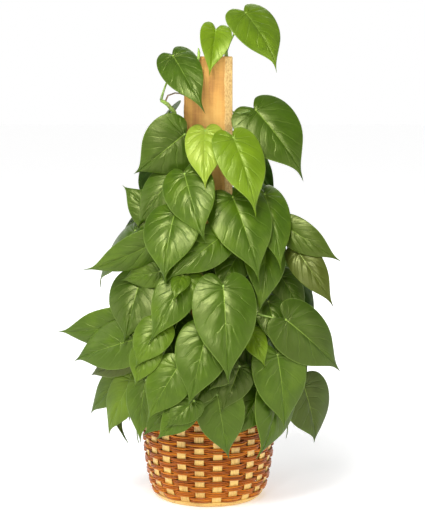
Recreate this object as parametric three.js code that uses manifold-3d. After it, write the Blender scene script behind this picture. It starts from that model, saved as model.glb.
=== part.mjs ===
// Heartleaf philodendron: leafy vines on a wooden climbing post, in a grow pot inside a woven basket.
// Millimetres, +Z up. The origin is the centre of the basket's underside, on the surface that it stands on.
// The front of the plant faces -Y. Leaves are laid like shingles, from the lowest layer outwards.
import * as THREE from "three";
import { mergeVertices } from "three/addons/utils/BufferGeometryUtils.js";
import Module from "manifold-3d";

const wasm = await Module();
wasm.setup();

// Gap that pieces which touch keep between their faces.
const CLEAR = 0.3;

// Basket: outer radius of its wall at each height, and what the wall is made of.
const WALL_PROFILE = [[0, 69], [7, 75], [12, 77.8], [24, 81.5], [38, 84], [64, 87.6], [127, 90]];
const BASKET = {
  footHeight: 7,
  wallTop: 121.5,
  stakes: 22,
  rowPitch: 7.6,
  relief: 1.1,
  wallThickness: 3.4,
  stakeWidth: 11,
  stakeThickness: 1.4,
  facetSink: 0.4,
  rimHeight: 10,
  rimWidth: 12,
};

// Grow pot and what fills it.
const POT = { bottomRadius: 60, topRadius: 77, wall: 1.4, height: 113, lip: 3, lipHeight: 7, holeRadius: 5 };
const SOIL_TOP = 108;
const POST_BOTTOM = 14;
const POST_TOP = 591;

// Section of the sawn post: a hewn left face, a front face and a chamfer on the right edge.
const POST_SECTION = [
  [-32.5, -6], [-4.6, -19], [21.3, -19], [32, -11], [32, 14], [-32.5, 14],
];

// Vines: where each stands round the post (degrees from the front, to the right), and how high it climbs.
const STEM_RING = { halfWidth: 44, halfDepth: 30, radius: 2.6, base: 62, sway: 1.6 };
const VINES = [
  { name: "vine_front", azimuth: 0, top: 235 },
  { name: "vine_front_left", azimuth: -38, top: 400 },
  { name: "vine_left", azimuth: -82, top: 508, end: [[-45, -12, 518], [-54, -18, 529], [-62, -22, 534]] },
  { name: "vine_back_left", azimuth: -134, top: 540 },
  { name: "vine_back", azimuth: -172, top: 500 },
  { name: "vine_back_right", azimuth: 150, top: 598 },
  { name: "vine_right", azimuth: 82, top: 512 },
  { name: "vine_front_right", azimuth: 36, top: 396 },
];

// Blade: half of its outline from the notch at the heel to the drip tip, as shares of length and half width.
const HALF_OUTLINE = [
  [0, 0], [-0.11, 0.36], [-0.02, 0.8], [0.21, 1], [0.48, 0.86], [0.73, 0.43], [0.89, 0.09], [1, 0],
];
const MIDRIB = [0.3, 0.64];
const BLADE = { thickness: 0.8, bow: 0.07, fold: -0.08 };
const FORWARD = [-34, -8];
const LAYING = { clearance: 2.4, reach: 45, step: 1.5, most: 60 };

// Leaf stalk: it leaves its stem above the soil, with a lead along its run and a rise, and comes to the heel
// from behind the blade. Its start below the heel and its bow sideways are tried in the orders given.
const STALK = { radius: 1.5, sides: 3, steps: 2, aboveSoil: 14, lead: 0.35, rise: 0.1, behind: 24 };
const STALK_DROPS = [24, 40, 10, 56, 72, -6, 90, -22, -38, 110, 135, 160];
const STALK_BOWS = [0, 12, -12, 24, -24, 40, -40, 56, -56, 72, -72];

// A leaf may hang this far above its vine's top, and takes a loose end that is nearer than this.
const ABOVE_VINE = 110;
const LOOSE_END_REACH = 110;
const VINES_TRIED = 5;

// Radius of the leafy surface round the post at each height.
const LEAFY_PROFILE = [
  [70, 108], [100, 118], [150, 126], [215, 128], [300, 108], [390, 82], [455, 62], [520, 48], [590, 38], [660, 28],
];

// The front leaves were measured on a photograph: this is the eye that took it, and its picture's middle.
const EYE = { x: 5.3, y: -2000, z: 573, pitch: THREE.MathUtils.degToRad(7.1), lensPx: 1504 };
const MIDDLE_PX = [212.5, 257.5];

// Front leaves in the order that they are laid, the underneath ones first: where the heel and the drip tip
// show in the photograph, the blade's width in millimetres, and where a leaf has them, its roll (degrees),
// fold, and how far it is laid forward of the leafy surface at the heel and the tip.
const FRONT_LEAVES = [
  { name: "inner_low_left", heelPx: [172, 392], tipPx: [164, 432], width: 50, forward: [-52, -40] },
  { name: "inner_low_right", heelPx: [247, 386], tipPx: [251, 430], width: 52, forward: [-52, -40] },
  { name: "inner_low", heelPx: [211, 362], tipPx: [214, 412], width: 56, forward: [-52, -40] },
  { name: "inner_left", heelPx: [175, 316], tipPx: [168, 372], width: 58, forward: [-52, -40] },
  { name: "inner_right", heelPx: [248, 322], tipPx: [246, 378], width: 58, forward: [-52, -40] },
  { name: "inner_far_left", heelPx: [143, 306], tipPx: [136, 352], width: 50, forward: [-52, -40] },
  { name: "inner_far_right", heelPx: [288, 296], tipPx: [294, 344], width: 50, forward: [-52, -40] },
  { name: "inner_middle", heelPx: [214, 240], tipPx: [212, 292], width: 56, forward: [-52, -40] },
  { name: "low_right_3", heelPx: [258, 392], tipPx: [276, 437], width: 46 },
  { name: "low_right_2", heelPx: [262, 388], tipPx: [231, 441], width: 48 },
  { name: "low_middle", heelPx: [217, 393], tipPx: [228, 460], width: 64, forward: [-4, 8] },
  { name: "low_middle_2", heelPx: [240, 365], tipPx: [221, 414], width: 48 },
  { name: "low_right_edge", heelPx: [303, 383], tipPx: [316, 444], width: 72 },
  { name: "low_right_gloss", heelPx: [277, 352], tipPx: [284.5, 430], width: 74 },
  { name: "right_inner", heelPx: [280, 275], tipPx: [305, 320], width: 44 },
  { name: "right_inner_2", heelPx: [268, 300], tipPx: [278, 354], width: 42 },
  { name: "small_folded", heelPx: [250, 330], tipPx: [266, 368], width: 32 },
  { name: "right_wide", heelPx: [284, 318], tipPx: [340.5, 371], width: 76 },
  { name: "under_hero_left", heelPx: [207, 378], tipPx: [192, 410], width: 40 },
  { name: "under_hero_right", heelPx: [224, 364], tipPx: [208, 392], width: 38 },
  { name: "low_left_edge", heelPx: [130, 370], tipPx: [88.5, 415], width: 46 },
  { name: "low_left_2", heelPx: [133, 377], tipPx: [107, 436], width: 48 },
  { name: "low_left_3", heelPx: [146, 378], tipPx: [139, 443], width: 48 },
  { name: "low_left_4", heelPx: [175, 400], tipPx: [143, 437], width: 40 },
  { name: "low_left_5", heelPx: [190, 405], tipPx: [156.5, 440], width: 40 },
  { name: "low_left_6", heelPx: [195, 400], tipPx: [166, 428], width: 38 },
  { name: "left_gloss", heelPx: [179, 365], tipPx: [147, 420], width: 58 },
  { name: "middle_left_low", heelPx: [207, 330], tipPx: [189.5, 406], width: 69 },
  { name: "left_hidden", heelPx: [135, 355], tipPx: [88.5, 376.5], width: 38 },
  { name: "left_edge_upper", heelPx: [132, 325], tipPx: [56.5, 332], width: 54, roll: -20 },
  { name: "left_edge_gloss", heelPx: [136, 339], tipPx: [73, 360], width: 64 },
  { name: "left_dark", heelPx: [142, 276], tipPx: [125, 345], width: 78 },
  { name: "left_inner", heelPx: [150, 345], tipPx: [134.5, 386], width: 42 },
  { name: "left_middle", heelPx: [160, 324], tipPx: [135, 368], width: 50 },
  { name: "left_small", heelPx: [162, 271], tipPx: [120, 280], width: 38, roll: -12 },
  { name: "middle_left", heelPx: [187, 275], tipPx: [150, 344], width: 56 },
  { name: "middle_left_bud", heelPx: [183, 275], tipPx: [174, 300], width: 24 },
  { name: "behind_hero", heelPx: [240, 250], tipPx: [215, 295], width: 50 },
  { name: "hero", heelPx: [223, 283], tipPx: [228, 384], width: 82 },
  { name: "middle_right", heelPx: [265, 232], tipPx: [260, 316], width: 61 },
  { name: "right_olive_2", heelPx: [297, 250], tipPx: [334, 306], width: 44, roll: 25 },
  { name: "right_olive", heelPx: [283, 225], tipPx: [341, 261.5], width: 42, roll: 25 },
  { name: "right_upper", heelPx: [264, 192], tipPx: [281, 271], width: 58 },
  { name: "middle_slant", heelPx: [222, 236], tipPx: [166, 280], width: 54 },
  { name: "left_long", heelPx: [160, 240], tipPx: [84, 272], width: 46, roll: -35 },
  { name: "left_upturned", heelPx: [160, 222], tipPx: [121.5, 184], width: 48, roll: 20 },
  { name: "left_upper_2", heelPx: [175, 175], tipPx: [136, 228], width: 56 },
  { name: "middle_gloss", heelPx: [175, 211], tipPx: [163, 282], width: 74 },
  { name: "left_upper", heelPx: [186, 133], tipPx: [134, 175], width: 78, roll: -25 },
  { name: "right_gloss", heelPx: [232, 195], tipPx: [260, 281], width: 83 },
  { name: "bright_middle", heelPx: [184, 172], tipPx: [204.5, 242], width: 68 },
  { name: "pale_young", heelPx: [205, 129], tipPx: [204.5, 190], width: 52 },
  { name: "right_top_dark", heelPx: [254, 108], tipPx: [305, 178], width: 86, roll: 10 },
  { name: "bright_right", heelPx: [232.5, 135.5], tipPx: [257, 215], width: 66 },
  { name: "top_left", heelPx: [172, 54], tipPx: [204, 112], width: 54, roll: -24 },
  { name: "top_middle", heelPx: [216, 29], tipPx: [208.5, 76], width: 42, fold: 0.5 },
  { name: "top_right", heelPx: [244.5, 11], tipPx: [279, 70], width: 72 },
];

// Leaves round the sides and back: they climb from the lowest to the highest, each a golden turn from the
// last, and thin out as the plant narrows.
const BACK = {
  count: 46, lowest: 172, highest: 520, thinning: 0.75, sweepFrom: 52, sweepTo: 308, length: 106, lengthSpread: 15,
  slender: 0.66, leanSpread: 34, rollSpread: 16, flare: 9, inset: 8, most: 15,
};
const GOLDEN = 0.61803399;

// Smaller leaves that fill the room between the front and the sides, in rings round the post. They face
// aside from straight out.
const INNER = {
  count: 52, lowest: 150, highest: 370, from: 28, to: 88, radius: [50, 88, 70], aside: 24, length: 84, width: 56,
  flare: 15, most: 27,
};

const UP = new THREE.Vector3(0, 0, 1);
const radians = THREE.MathUtils.degToRad;

// Value between the rows of a two-column list, held at its ends.
function along(rows, at) {
  const next = rows.findIndex((row) => row[0] >= at);
  if (next === 0) return rows[0][1];
  if (next < 0) return rows[rows.length - 1][1];
  const [x0, y0] = rows[next - 1];
  const [x1, y1] = rows[next];
  return y0 + ((y1 - y0) * (at - x0)) / (x1 - x0);
}

// Direction away from the post, at an azimuth in degrees from the front towards the right.
function outward(azimuth) {
  const a = radians(azimuth);
  return new THREE.Vector3(Math.sin(a), -Math.cos(a), 0);
}

// Fraction of a number that is left after its whole part.
function fraction(value) {
  return value - Math.floor(value);
}

// Even spread between -1 and 1 that repeats the same way each run.
function spread(index, kind) {
  return 2 * fraction(index * 0.75487767 + kind * 0.56984029) - 1;
}

// A closed geometry as a solid that can be joined and cut.
function solidOf(geometry) {
  const bare = geometry.index ? geometry.toNonIndexed() : geometry.clone();
  bare.deleteAttribute("normal");
  bare.deleteAttribute("uv");
  const merged = mergeVertices(bare, 1e-3);
  return new wasm.Manifold(
    new wasm.Mesh({
      numProp: 3,
      vertProperties: merged.attributes.position.array,
      triVerts: new Uint32Array(merged.index.array),
    }),
  );
}

// A solid as a named mesh of the scene.
function meshOf(solid, name, material) {
  const data = solid.getMesh();
  const positions = new Float32Array(data.numVert * 3);
  for (let i = 0; i < data.numVert; i += 1) {
    positions.set(data.vertProperties.subarray(i * data.numProp, i * data.numProp + 3), i * 3);
  }
  const geometry = new THREE.BufferGeometry();
  geometry.setAttribute("position", new THREE.BufferAttribute(positions, 3));
  geometry.setIndex(new THREE.BufferAttribute(data.triVerts, 1));
  geometry.computeVertexNormals();
  const mesh = new THREE.Mesh(geometry, material);
  mesh.name = name;
  return mesh;
}

// Points and triangles as a solid.
function solidFromPoints(points, triangles) {
  const geometry = new THREE.BufferGeometry().setFromPoints(points);
  geometry.setIndex(triangles.flat());
  return solidOf(geometry);
}

// A profile of [radius, height] points, closed on itself or on the axis, turned round the Z axis.
function turned(profile, segments) {
  const points = profile.map(([radius, height]) => new THREE.Vector2(radius, height));
  const geometry = new THREE.LatheGeometry(points, segments);
  geometry.rotateX(Math.PI / 2);
  return solidOf(geometry);
}

// Rings of points that follow each other round a wall and close on the first, as a solid.
function solidOfRings(rings) {
  const count = rings[0].length;
  const triangles = [];
  rings.forEach((ring, r) => {
    const a = r * count;
    const b = ((r + 1) % rings.length) * count;
    ring.forEach((point, i) => {
      const j = (i + 1) % count;
      triangles.push([a + i, a + j, b + j], [a + i, b + j, b + i]);
    });
  });
  return solidFromPoints(rings.flat(), triangles);
}

// A round rod of a few sides along a curve.
function rod(curve, radius, sides, steps) {
  const section = new THREE.Shape(
    Array.from({ length: sides }, (unused, i) => {
      const a = (2 * Math.PI * i) / sides;
      return new THREE.Vector2(radius * Math.cos(a), radius * Math.sin(a));
    }),
  );
  return solidOf(new THREE.ExtrudeGeometry(section, { steps, bevelEnabled: false, extrudePath: curve }));
}

function ringPoint(radius, turn, height) {
  return new THREE.Vector3(radius * Math.cos(turn), radius * Math.sin(turn), height);
}

// Woven wall: each row of cane stands proud in front of one stake and sinks behind the next.
function wovenWall() {
  const columns = BASKET.stakes * 2;
  const bottom = BASKET.footHeight + CLEAR;
  const rows = Math.round((BASKET.wallTop - bottom) / BASKET.rowPitch);
  const pitch = (BASKET.wallTop - bottom) / rows;
  const ringAt = (height, offsetOf) =>
    Array.from({ length: columns }, (unused, column) => {
      const radius = along(WALL_PROFILE, height) + offsetOf(column);
      return ringPoint(radius, (2 * Math.PI * column) / columns, height);
    });
  const outer = [ringAt(bottom, () => -BASKET.relief)];
  for (let row = 0; row < rows; row += 1) {
    const wave = (column) => BASKET.relief * (column % 2 ? 0 : Math.cos(Math.PI * (column / 2 + row)));
    outer.push(ringAt(bottom + pitch * (row + 0.5), wave));
  }
  outer.push(ringAt(BASKET.wallTop, () => -BASKET.relief));
  const inner = [BASKET.wallTop, 42, bottom].map((height) =>
    ringAt(height, () => -BASKET.relief - BASKET.wallThickness),
  );
  return solidOfRings([...outer, ...inner]);
}

// Pale frame: the base board and the upright stakes that stand in it just inside the woven wall.
function basketFrame() {
  const { footHeight, stakeThickness, stakeWidth, wallTop } = BASKET;
  const board = turned([[0, 0], [WALL_PROFILE[0][1], 0], [WALL_PROFILE[1][1], footHeight], [0, footHeight]], 36);
  const inset = BASKET.relief + BASKET.wallThickness + BASKET.facetSink + CLEAR;
  const levels = [0.6 * footHeight, 42, wallTop];
  const stakes = Array.from({ length: BASKET.stakes }, (unused, i) => {
    const turn = (2 * Math.PI * i) / BASKET.stakes;
    const rings = levels.map((height) => {
      const outer = along(WALL_PROFILE, height) - inset;
      const inner = outer - stakeThickness;
      const across = ringPoint(stakeWidth / 2, turn + Math.PI / 2, 0);
      return [
        ringPoint(outer, turn, height).sub(across), ringPoint(outer, turn, height).add(across),
        ringPoint(inner, turn, height).add(across), ringPoint(inner, turn, height).sub(across),
      ];
    });
    const walls = [];
    for (let level = 0; level < levels.length - 1; level += 1) {
      for (let i = 0; i < 4; i += 1) {
        const j = (i + 1) % 4;
        walls.push([4 * level + i, 4 * level + j, 4 * level + 4 + j]);
        walls.push([4 * level + i, 4 * level + 4 + j, 4 * level + 4 + i]);
      }
    }
    const top = 4 * (levels.length - 1);
    const caps = [[2, 1, 0], [3, 2, 0], [top, top + 1, top + 2], [top, top + 2, top + 3]];
    return solidFromPoints(rings.flat(), [...walls, ...caps]);
  });
  return wasm.Manifold.union([board, ...stakes]);
}

// Rolled border on top of the wall.
function basketRim() {
  const middle = along(WALL_PROFILE, BASKET.wallTop) - 2.5;
  const bottom = BASKET.wallTop + CLEAR;
  const half = BASKET.rimWidth / 2;
  const profile = [
    [middle - 0.6 * half, bottom], [middle + 0.6 * half, bottom], [middle + half, bottom + 3],
    [middle + 0.7 * half, bottom + 0.85 * BASKET.rimHeight], [middle, bottom + BASKET.rimHeight],
    [middle - half, bottom + 0.5 * BASKET.rimHeight], [middle - 0.6 * half, bottom],
  ];
  return turned(profile, 36);
}

const POT_FLOOR = BASKET.footHeight + CLEAR;

// Thin tapered grow pot with a lip and drain holes.
function growPot() {
  const { bottomRadius, topRadius, wall, height, lip, lipHeight, holeRadius } = POT;
  const top = POT_FLOOR + height;
  const shell = turned(
    [[0, POT_FLOOR], [bottomRadius, POT_FLOOR], [topRadius, top - lipHeight], [topRadius + lip, top - lipHeight],
      [topRadius + lip, top], [topRadius - wall, top], [bottomRadius - wall, POT_FLOOR + wall], [0, POT_FLOOR + wall]],
    32,
  );
  const drains = Array.from({ length: 5 }, (unused, i) => {
    const drain = new THREE.CylinderGeometry(holeRadius, holeRadius, 4 * wall, 6);
    drain.rotateX(Math.PI / 2);
    const turn = (2 * Math.PI * i) / 5;
    drain.translate(0.65 * bottomRadius * Math.cos(turn), 0.65 * bottomRadius * Math.sin(turn), POT_FLOOR);
    return solidOf(drain);
  });
  return shell.subtract(wasm.Manifold.union(drains));
}

// The post, its section drawn out by a clearance for the hole that it stands in.
function post(bottom, top, clearance) {
  const middle = [0, -2.5];
  const points = POST_SECTION.map(([x, y]) => {
    const arm = new THREE.Vector2(x - middle[0], y - middle[1]);
    arm.setLength(arm.length() + 1.6 * clearance);
    return new THREE.Vector2(middle[0] + arm.x, middle[1] + arm.y);
  });
  const body = new THREE.ExtrudeGeometry(new THREE.Shape(points), { depth: top - bottom, bevelEnabled: false });
  body.translate(0, 0, bottom);
  return solidOf(body);
}

// A point on a vine's stem at a height, or at its tip above that.
function stemPoint(vine, height) {
  if (vine.end && height > vine.top) return new THREE.Vector3(...vine.end.at(-1));
  const a = radians(vine.azimuth);
  const low = Math.min(height, vine.top);
  return new THREE.Vector3(
    STEM_RING.halfWidth * Math.sin(a) + STEM_RING.sway * Math.sin(low / 33 + a),
    -STEM_RING.halfDepth * Math.cos(a) + STEM_RING.sway * Math.cos(low / 39 + 2 * a),
    low,
  );
}

function stem(vine, radius) {
  const points = [];
  for (let height = STEM_RING.base; height < vine.top; height += 40) {
    points.push(stemPoint(vine, height));
  }
  points.push(stemPoint(vine, vine.top));
  (vine.end ?? []).forEach((point) => points.push(new THREE.Vector3(...point)));
  return rod(new THREE.CatmullRomCurve3(points), radius, 5, Math.round(vine.top / 34));
}

// Potting soil with plain holes for the post and the stems.
function soil(holes) {
  const bottom = POT_FLOOR + POT.wall + CLEAR;
  const radiusAt = (height) => {
    const share = (height - POT_FLOOR - POT.wall) / (POT.height - POT.wall);
    return POT.bottomRadius + (POT.topRadius - POT.bottomRadius) * share - POT.wall - 1.2 * CLEAR;
  };
  const body = turned(
    [[0, bottom], [radiusAt(bottom), bottom], [radiusAt(SOIL_TOP), SOIL_TOP], [48, SOIL_TOP + 3], [0, SOIL_TOP + 3]],
    32,
  );
  return body.subtract(wasm.Manifold.union(holes));
}

// Where a picture point lies in the part's frame, at a distance in front of the post's axis.
function placed([px, py], depth) {
  const side = (px - MIDDLE_PX[0]) / EYE.lensPx;
  const rise = (MIDDLE_PX[1] - py) / EYE.lensPx;
  const reach = (-depth - EYE.y) / (Math.cos(EYE.pitch) + rise * Math.sin(EYE.pitch));
  const height = EYE.z + reach * (rise * Math.cos(EYE.pitch) - Math.sin(EYE.pitch));
  return new THREE.Vector3(EYE.x + reach * side, -depth, height);
}

// The same, on the leafy surface, which falls away towards the sides.
function onLeafySurface(px, forward) {
  const first = placed(px, 80);
  const radius = along(LEAFY_PROFILE, first.z);
  const share = first.x / (1.2 * radius);
  return placed(px, radius * Math.sqrt(Math.max(0.06, 1 - share * share)) + forward);
}

// Facing of a leaf: partly away from the post, partly the way that all the front leaves look, and up.
function frontLeaf(row) {
  const forward = row.forward ?? FORWARD;
  const heel = onLeafySurface(row.heelPx, forward[0]);
  const tip = onLeafySurface(row.tipPx, forward[1]);
  const middle = heel.clone().add(tip).setZ(0).normalize();
  const facing = new THREE.Vector3(0, -0.75, 0.2).addScaledVector(middle, 0.4);
  const push = new THREE.Vector3(EYE.x, EYE.y, EYE.z).sub(heel).normalize();
  return {
    ...row, heel, tip, facing, push,
    roll: radians(row.roll ?? 0), fold: row.fold ?? BLADE.fold,
  };
}

// A leaf of the sides or back, with its lean and size varied a little.
function backLeaf(index) {
  const { lowest, highest, thinning, sweepFrom, sweepTo } = BACK;
  const height = lowest + (highest - lowest) * (index / (BACK.count - 1)) ** (1 / thinning);
  const azimuth = sweepFrom + (sweepTo - sweepFrom) * fraction(index * GOLDEN);
  const length = BACK.length + BACK.lengthSpread * spread(index, 1);
  const radius = along(LEAFY_PROFILE, height) - BACK.inset;
  const lean = radians(BACK.leanSpread * spread(index, 2));
  const flare = Math.atan2(along(LEAFY_PROFILE, height - length) - radius + BACK.flare, length);
  const away = outward(azimuth);
  const heel = away.clone().multiplyScalar(radius).setZ(height);
  const tip = heel.clone();
  tip.addScaledVector(away, length * Math.sin(flare));
  tip.addScaledVector(outward(azimuth + 90), length * Math.cos(flare) * Math.sin(lean));
  tip.addScaledVector(UP, -length * Math.cos(flare) * Math.cos(lean));
  return {
    name: `back_${index}`, heel, tip, facing: away.clone().addScaledVector(UP, 0.3), push: away,
    width: BACK.slender * length, roll: radians(BACK.rollSpread * spread(index, 3)), fold: BLADE.fold,
  };
}

// A leaf of the filling, to the right and the left in turn.
function innerLeaf(index) {
  const height = INNER.lowest + (INNER.highest - INNER.lowest) * (index / (INNER.count - 1));
  const turn = INNER.from + (INNER.to - INNER.from) * fraction(index * GOLDEN);
  const side = index % 2 ? 1 : -1;
  const away = outward(side * turn);
  const facing = outward(side * (turn + INNER.aside)).addScaledVector(UP, 0.3);
  const heel = away.clone().multiplyScalar(INNER.radius[(index >> 1) % INNER.radius.length]).setZ(height);
  const flare = radians(INNER.flare);
  const tip = heel.clone();
  tip.addScaledVector(away, INNER.length * Math.sin(flare));
  tip.addScaledVector(UP, -INNER.length * Math.cos(flare));
  return {
    name: `inner_${index}`, heel, tip, facing, push: away,
    width: INNER.width, roll: radians(BACK.rollSpread * spread(index, 4)), fold: BLADE.fold,
  };
}

// Points of a blade: a heart with a midrib, bowed along its length and folded at the midrib.
function bladePoint(leaf, pushed, u, v, lift) {
  const axis = leaf.tip.clone().sub(leaf.heel);
  const length = axis.length();
  axis.normalize();
  const normal = leaf.facing.clone().addScaledVector(axis, -leaf.facing.dot(axis)).normalize();
  normal.applyAxisAngle(axis, leaf.roll);
  const across = axis.clone().cross(normal);
  const half = leaf.width / 2;
  const height = 4 * BLADE.bow * length * u * (1 - u) + leaf.fold * half * Math.abs(v) + lift;
  return leaf.heel
    .clone()
    .addScaledVector(leaf.push, pushed)
    .addScaledVector(axis, u * length)
    .addScaledVector(across, v * half)
    .addScaledVector(normal, height);
}

// A blade as a closed solid, split into triangles alike on both faces, its upper face carried on outwards
// by a reach.
function blade(leaf, pushed, thickness, reach) {
  const last = HALF_OUTLINE.length - 1;
  const rim = [
    ...HALF_OUTLINE.map(([u, v]) => [u, v]),
    ...HALF_OUTLINE.slice(1, last).reverse().map(([u, v]) => [u, -v]),
  ];
  const flat = [...rim, ...MIDRIB.map((u) => [u, 0])];
  const count = flat.length;
  const low = rim.length;
  const high = rim.length + 1;
  const half = [
    [0, 1, 2], [0, 2, 3], [0, 3, low], [low, 3, 4], [low, 4, high], [high, 4, 5], [high, 5, 6], [high, 6, 7],
  ];
  const mirrored = (i) => (i > 0 && i < last ? rim.length - i : i);
  const face = [...half, ...half.map(([a, b, c]) => [mirrored(a), mirrored(c), mirrored(b)])];
  const upper = flat.map(([u, v]) => bladePoint(leaf, pushed + reach, u, v, thickness / 2));
  const lower = flat.map(([u, v]) => bladePoint(leaf, pushed, u, v, -thickness / 2));
  const points = [...upper, ...lower];
  const under = face.map(([a, b, c]) => [a + count, c + count, b + count]);
  const edge = rim.flatMap((unused, i) => {
    const j = (i + 1) % rim.length;
    return [[i, i + count, j], [j, i + count, j + count]];
  });
  return solidFromPoints(points, [...face, ...under, ...edge]);
}

function boxesMeet(a, b) {
  return [0, 1, 2].every((k) => a.min[k] < b.max[k] && b.min[k] < a.max[k]);
}

// Whether a solid crosses any item of a list of { solid, box }.
function crosses(solid, items) {
  const box = solid.boundingBox();
  return items.some((item) => boxesMeet(box, item.box) && !solid.intersect(item.solid).isEmpty());
}

function item(solid, rest) {
  return { solid, box: solid.boundingBox(), ...rest };
}

// Each leaf is laid outside those laid before it: it moves outwards until it is clear of what is fixed and
// no leaf of its own side is left in its way out. One that would move too far is left out.
function lay(leaves, fixed, reach, most) {
  const laid = [];
  leaves.forEach((leaf) => {
    const blocked = (pushed) =>
      crosses(blade(leaf, pushed, LAYING.clearance, reach), laid) ||
      crosses(blade(leaf, pushed, LAYING.clearance, 0), fixed);
    let pushed = 0;
    while (pushed <= most && blocked(pushed)) {
      pushed += LAYING.step;
    }
    if (pushed <= most) laid.push(item(blade(leaf, pushed, BLADE.thickness, 0), { leaf, pushed }));
  });
  return laid;
}

// The stalk from a stem to the back of a leaf's heel.
function stalk(leaf, pushed, vine, drop, bow) {
  const heel = bladePoint(leaf, pushed, 0.03, 0, 0);
  const behind = bladePoint(leaf, pushed, 0.07, 0, -STALK.behind);
  const start = stemPoint(vine, Math.max(SOIL_TOP + STALK.aboveSoil, heel.z - drop));
  const run = heel.clone().sub(start);
  const aside = run.clone().cross(UP).normalize();
  const leaving = start.clone().addScaledVector(run, STALK.lead).addScaledVector(aside, bow);
  leaving.addScaledVector(UP, STALK.rise * run.length());
  const curve = new THREE.CubicBezierCurve3(start, leaving, behind, heel);
  return rod(curve, STALK.radius, STALK.sides, STALK.steps);
}

// Vines in the order that a leaf tries them: one whose loose end is just below the leaf, then the nearest
// round the post, and none that ends too low.
function vinesNear(heel) {
  const azimuth = THREE.MathUtils.radToDeg(Math.atan2(heel.x, -heel.y));
  const turnTo = (vine) => {
    const end = vine.end && new THREE.Vector3(...vine.end.at(-1));
    if (end && heel.z > end.z && heel.distanceTo(end) < LOOSE_END_REACH) return 0;
    return Math.abs(((vine.azimuth - azimuth + 540) % 360) - 180);
  };
  return VINES.filter((vine) => vine.top > heel.z - ABOVE_VINE)
    .sort((a, b) => turnTo(a) - turnTo(b))
    .slice(0, VINES_TRIED);
}

// Hangs each laid leaf on a stem by the first stalk that is clear of everything. A leaf that has no such
// stalk waits till the others hang, and then takes one that grows through leaves of its own vine.
function hang(laid, stems, fixed) {
  const grown = new Map(VINES.map((vine, i) => [vine, [item(stems[i])]]));
  const hangOn = (leaf, vine, obstacles) => {
    const foreign = VINES.filter((other) => other !== vine).flatMap((other) => grown.get(other));
    for (const drop of STALK_DROPS) {
      for (const bow of STALK_BOWS) {
        const made = stalk(leaf.leaf, leaf.pushed, vine, drop, bow);
        if (!crosses(made, [...fixed, ...foreign, ...obstacles])) {
          grown.get(vine).push(item(made.add(leaf.solid)));
          return true;
        }
      }
    }
    return false;
  };
  const hangAll = (leaves, obstaclesOf) =>
    leaves.filter((leaf) => !vinesNear(leaf.leaf.heel).some((vine) => hangOn(leaf, vine, obstaclesOf(leaf))));
  const waiting = hangAll(laid, (leaf) => laid.filter((other) => other !== leaf));
  const left = hangAll(waiting, (leaf) => waiting.filter((other) => other !== leaf));
  if (left.length) {
    throw new Error(`no stalk fits ${left.map(({ leaf }) => leaf.name).join(", ")}`);
  }
  return grown;
}

const pale = new THREE.MeshStandardMaterial({ color: 0xe8cd84, roughness: 0.7, metalness: 0 });
const cane = new THREE.MeshStandardMaterial({ color: 0x9a4a1c, roughness: 0.35, metalness: 0 });
const potPlastic = new THREE.MeshStandardMaterial({ color: 0x1d3330, roughness: 0.5, metalness: 0 });
const earth = new THREE.MeshStandardMaterial({ color: 0x3a281c, roughness: 1, metalness: 0 });
const wood = new THREE.MeshStandardMaterial({ color: 0xdaa050, roughness: 0.75, metalness: 0 });
const foliage = new THREE.MeshStandardMaterial({ color: 0x4f7a24, roughness: 0.35, metalness: 0 });

const stems = VINES.map((vine) => stem(vine, STEM_RING.radius));
const holes = VINES.map((vine) => stem(vine, STEM_RING.radius + 1.6 * CLEAR));
const holder = [wovenWall(), basketFrame(), basketRim(), growPot()];
const support = post(POST_BOTTOM, POST_TOP, 0);
const filling = soil([post(POST_BOTTOM - CLEAR, POST_TOP, CLEAR), ...holes]);
const fixed = [...holder, support, filling].map((solid) => item(solid));

const upright = [...fixed, ...stems.map((solid) => item(solid))];
const series = (count, leafAt) => Array.from({ length: count }, (unused, index) => leafAt(index));
const front = lay(FRONT_LEAVES.map(frontLeaf), upright, LAYING.reach, LAYING.most);
const back = lay(series(BACK.count, backLeaf), [...upright, ...front], LAYING.reach, BACK.most);
const inner = lay(series(INNER.count, innerLeaf), [...upright, ...front, ...back], 0, INNER.most);
const laid = [...front, ...back, ...inner];
const vines = hang(laid, stems, fixed);

const plant = new THREE.Group();
plant.add(
  meshOf(holder[0], "basket_weave", cane),
  meshOf(holder[1], "basket_frame", pale),
  meshOf(holder[2], "basket_rim", cane),
  meshOf(holder[3], "grow_pot", potPlastic),
  meshOf(filling, "soil", earth),
  meshOf(support, "post", wood),
);
vines.forEach((items, vine) => {
  plant.add(meshOf(wasm.Manifold.union(items.map(({ solid }) => solid)), vine.name, foliage));
});

export default plant;
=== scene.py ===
"""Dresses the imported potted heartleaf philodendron: fine leaves and stems, woven basket, sawn post and soil.

Metres, +Z up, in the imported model's frame: the origin is the centre of the basket's underside, the front
of the plant faces -Y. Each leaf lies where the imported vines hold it.
"""

import logging
import math
from dataclasses import dataclass, field, replace
from enum import Enum
from functools import partialmethod
from typing import Sequence

import bpy
import numpy as np
from mathutils import Matrix, Vector, kdtree
from mathutils import noise as relief
from mathutils.bvhtree import BVHTree


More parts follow.
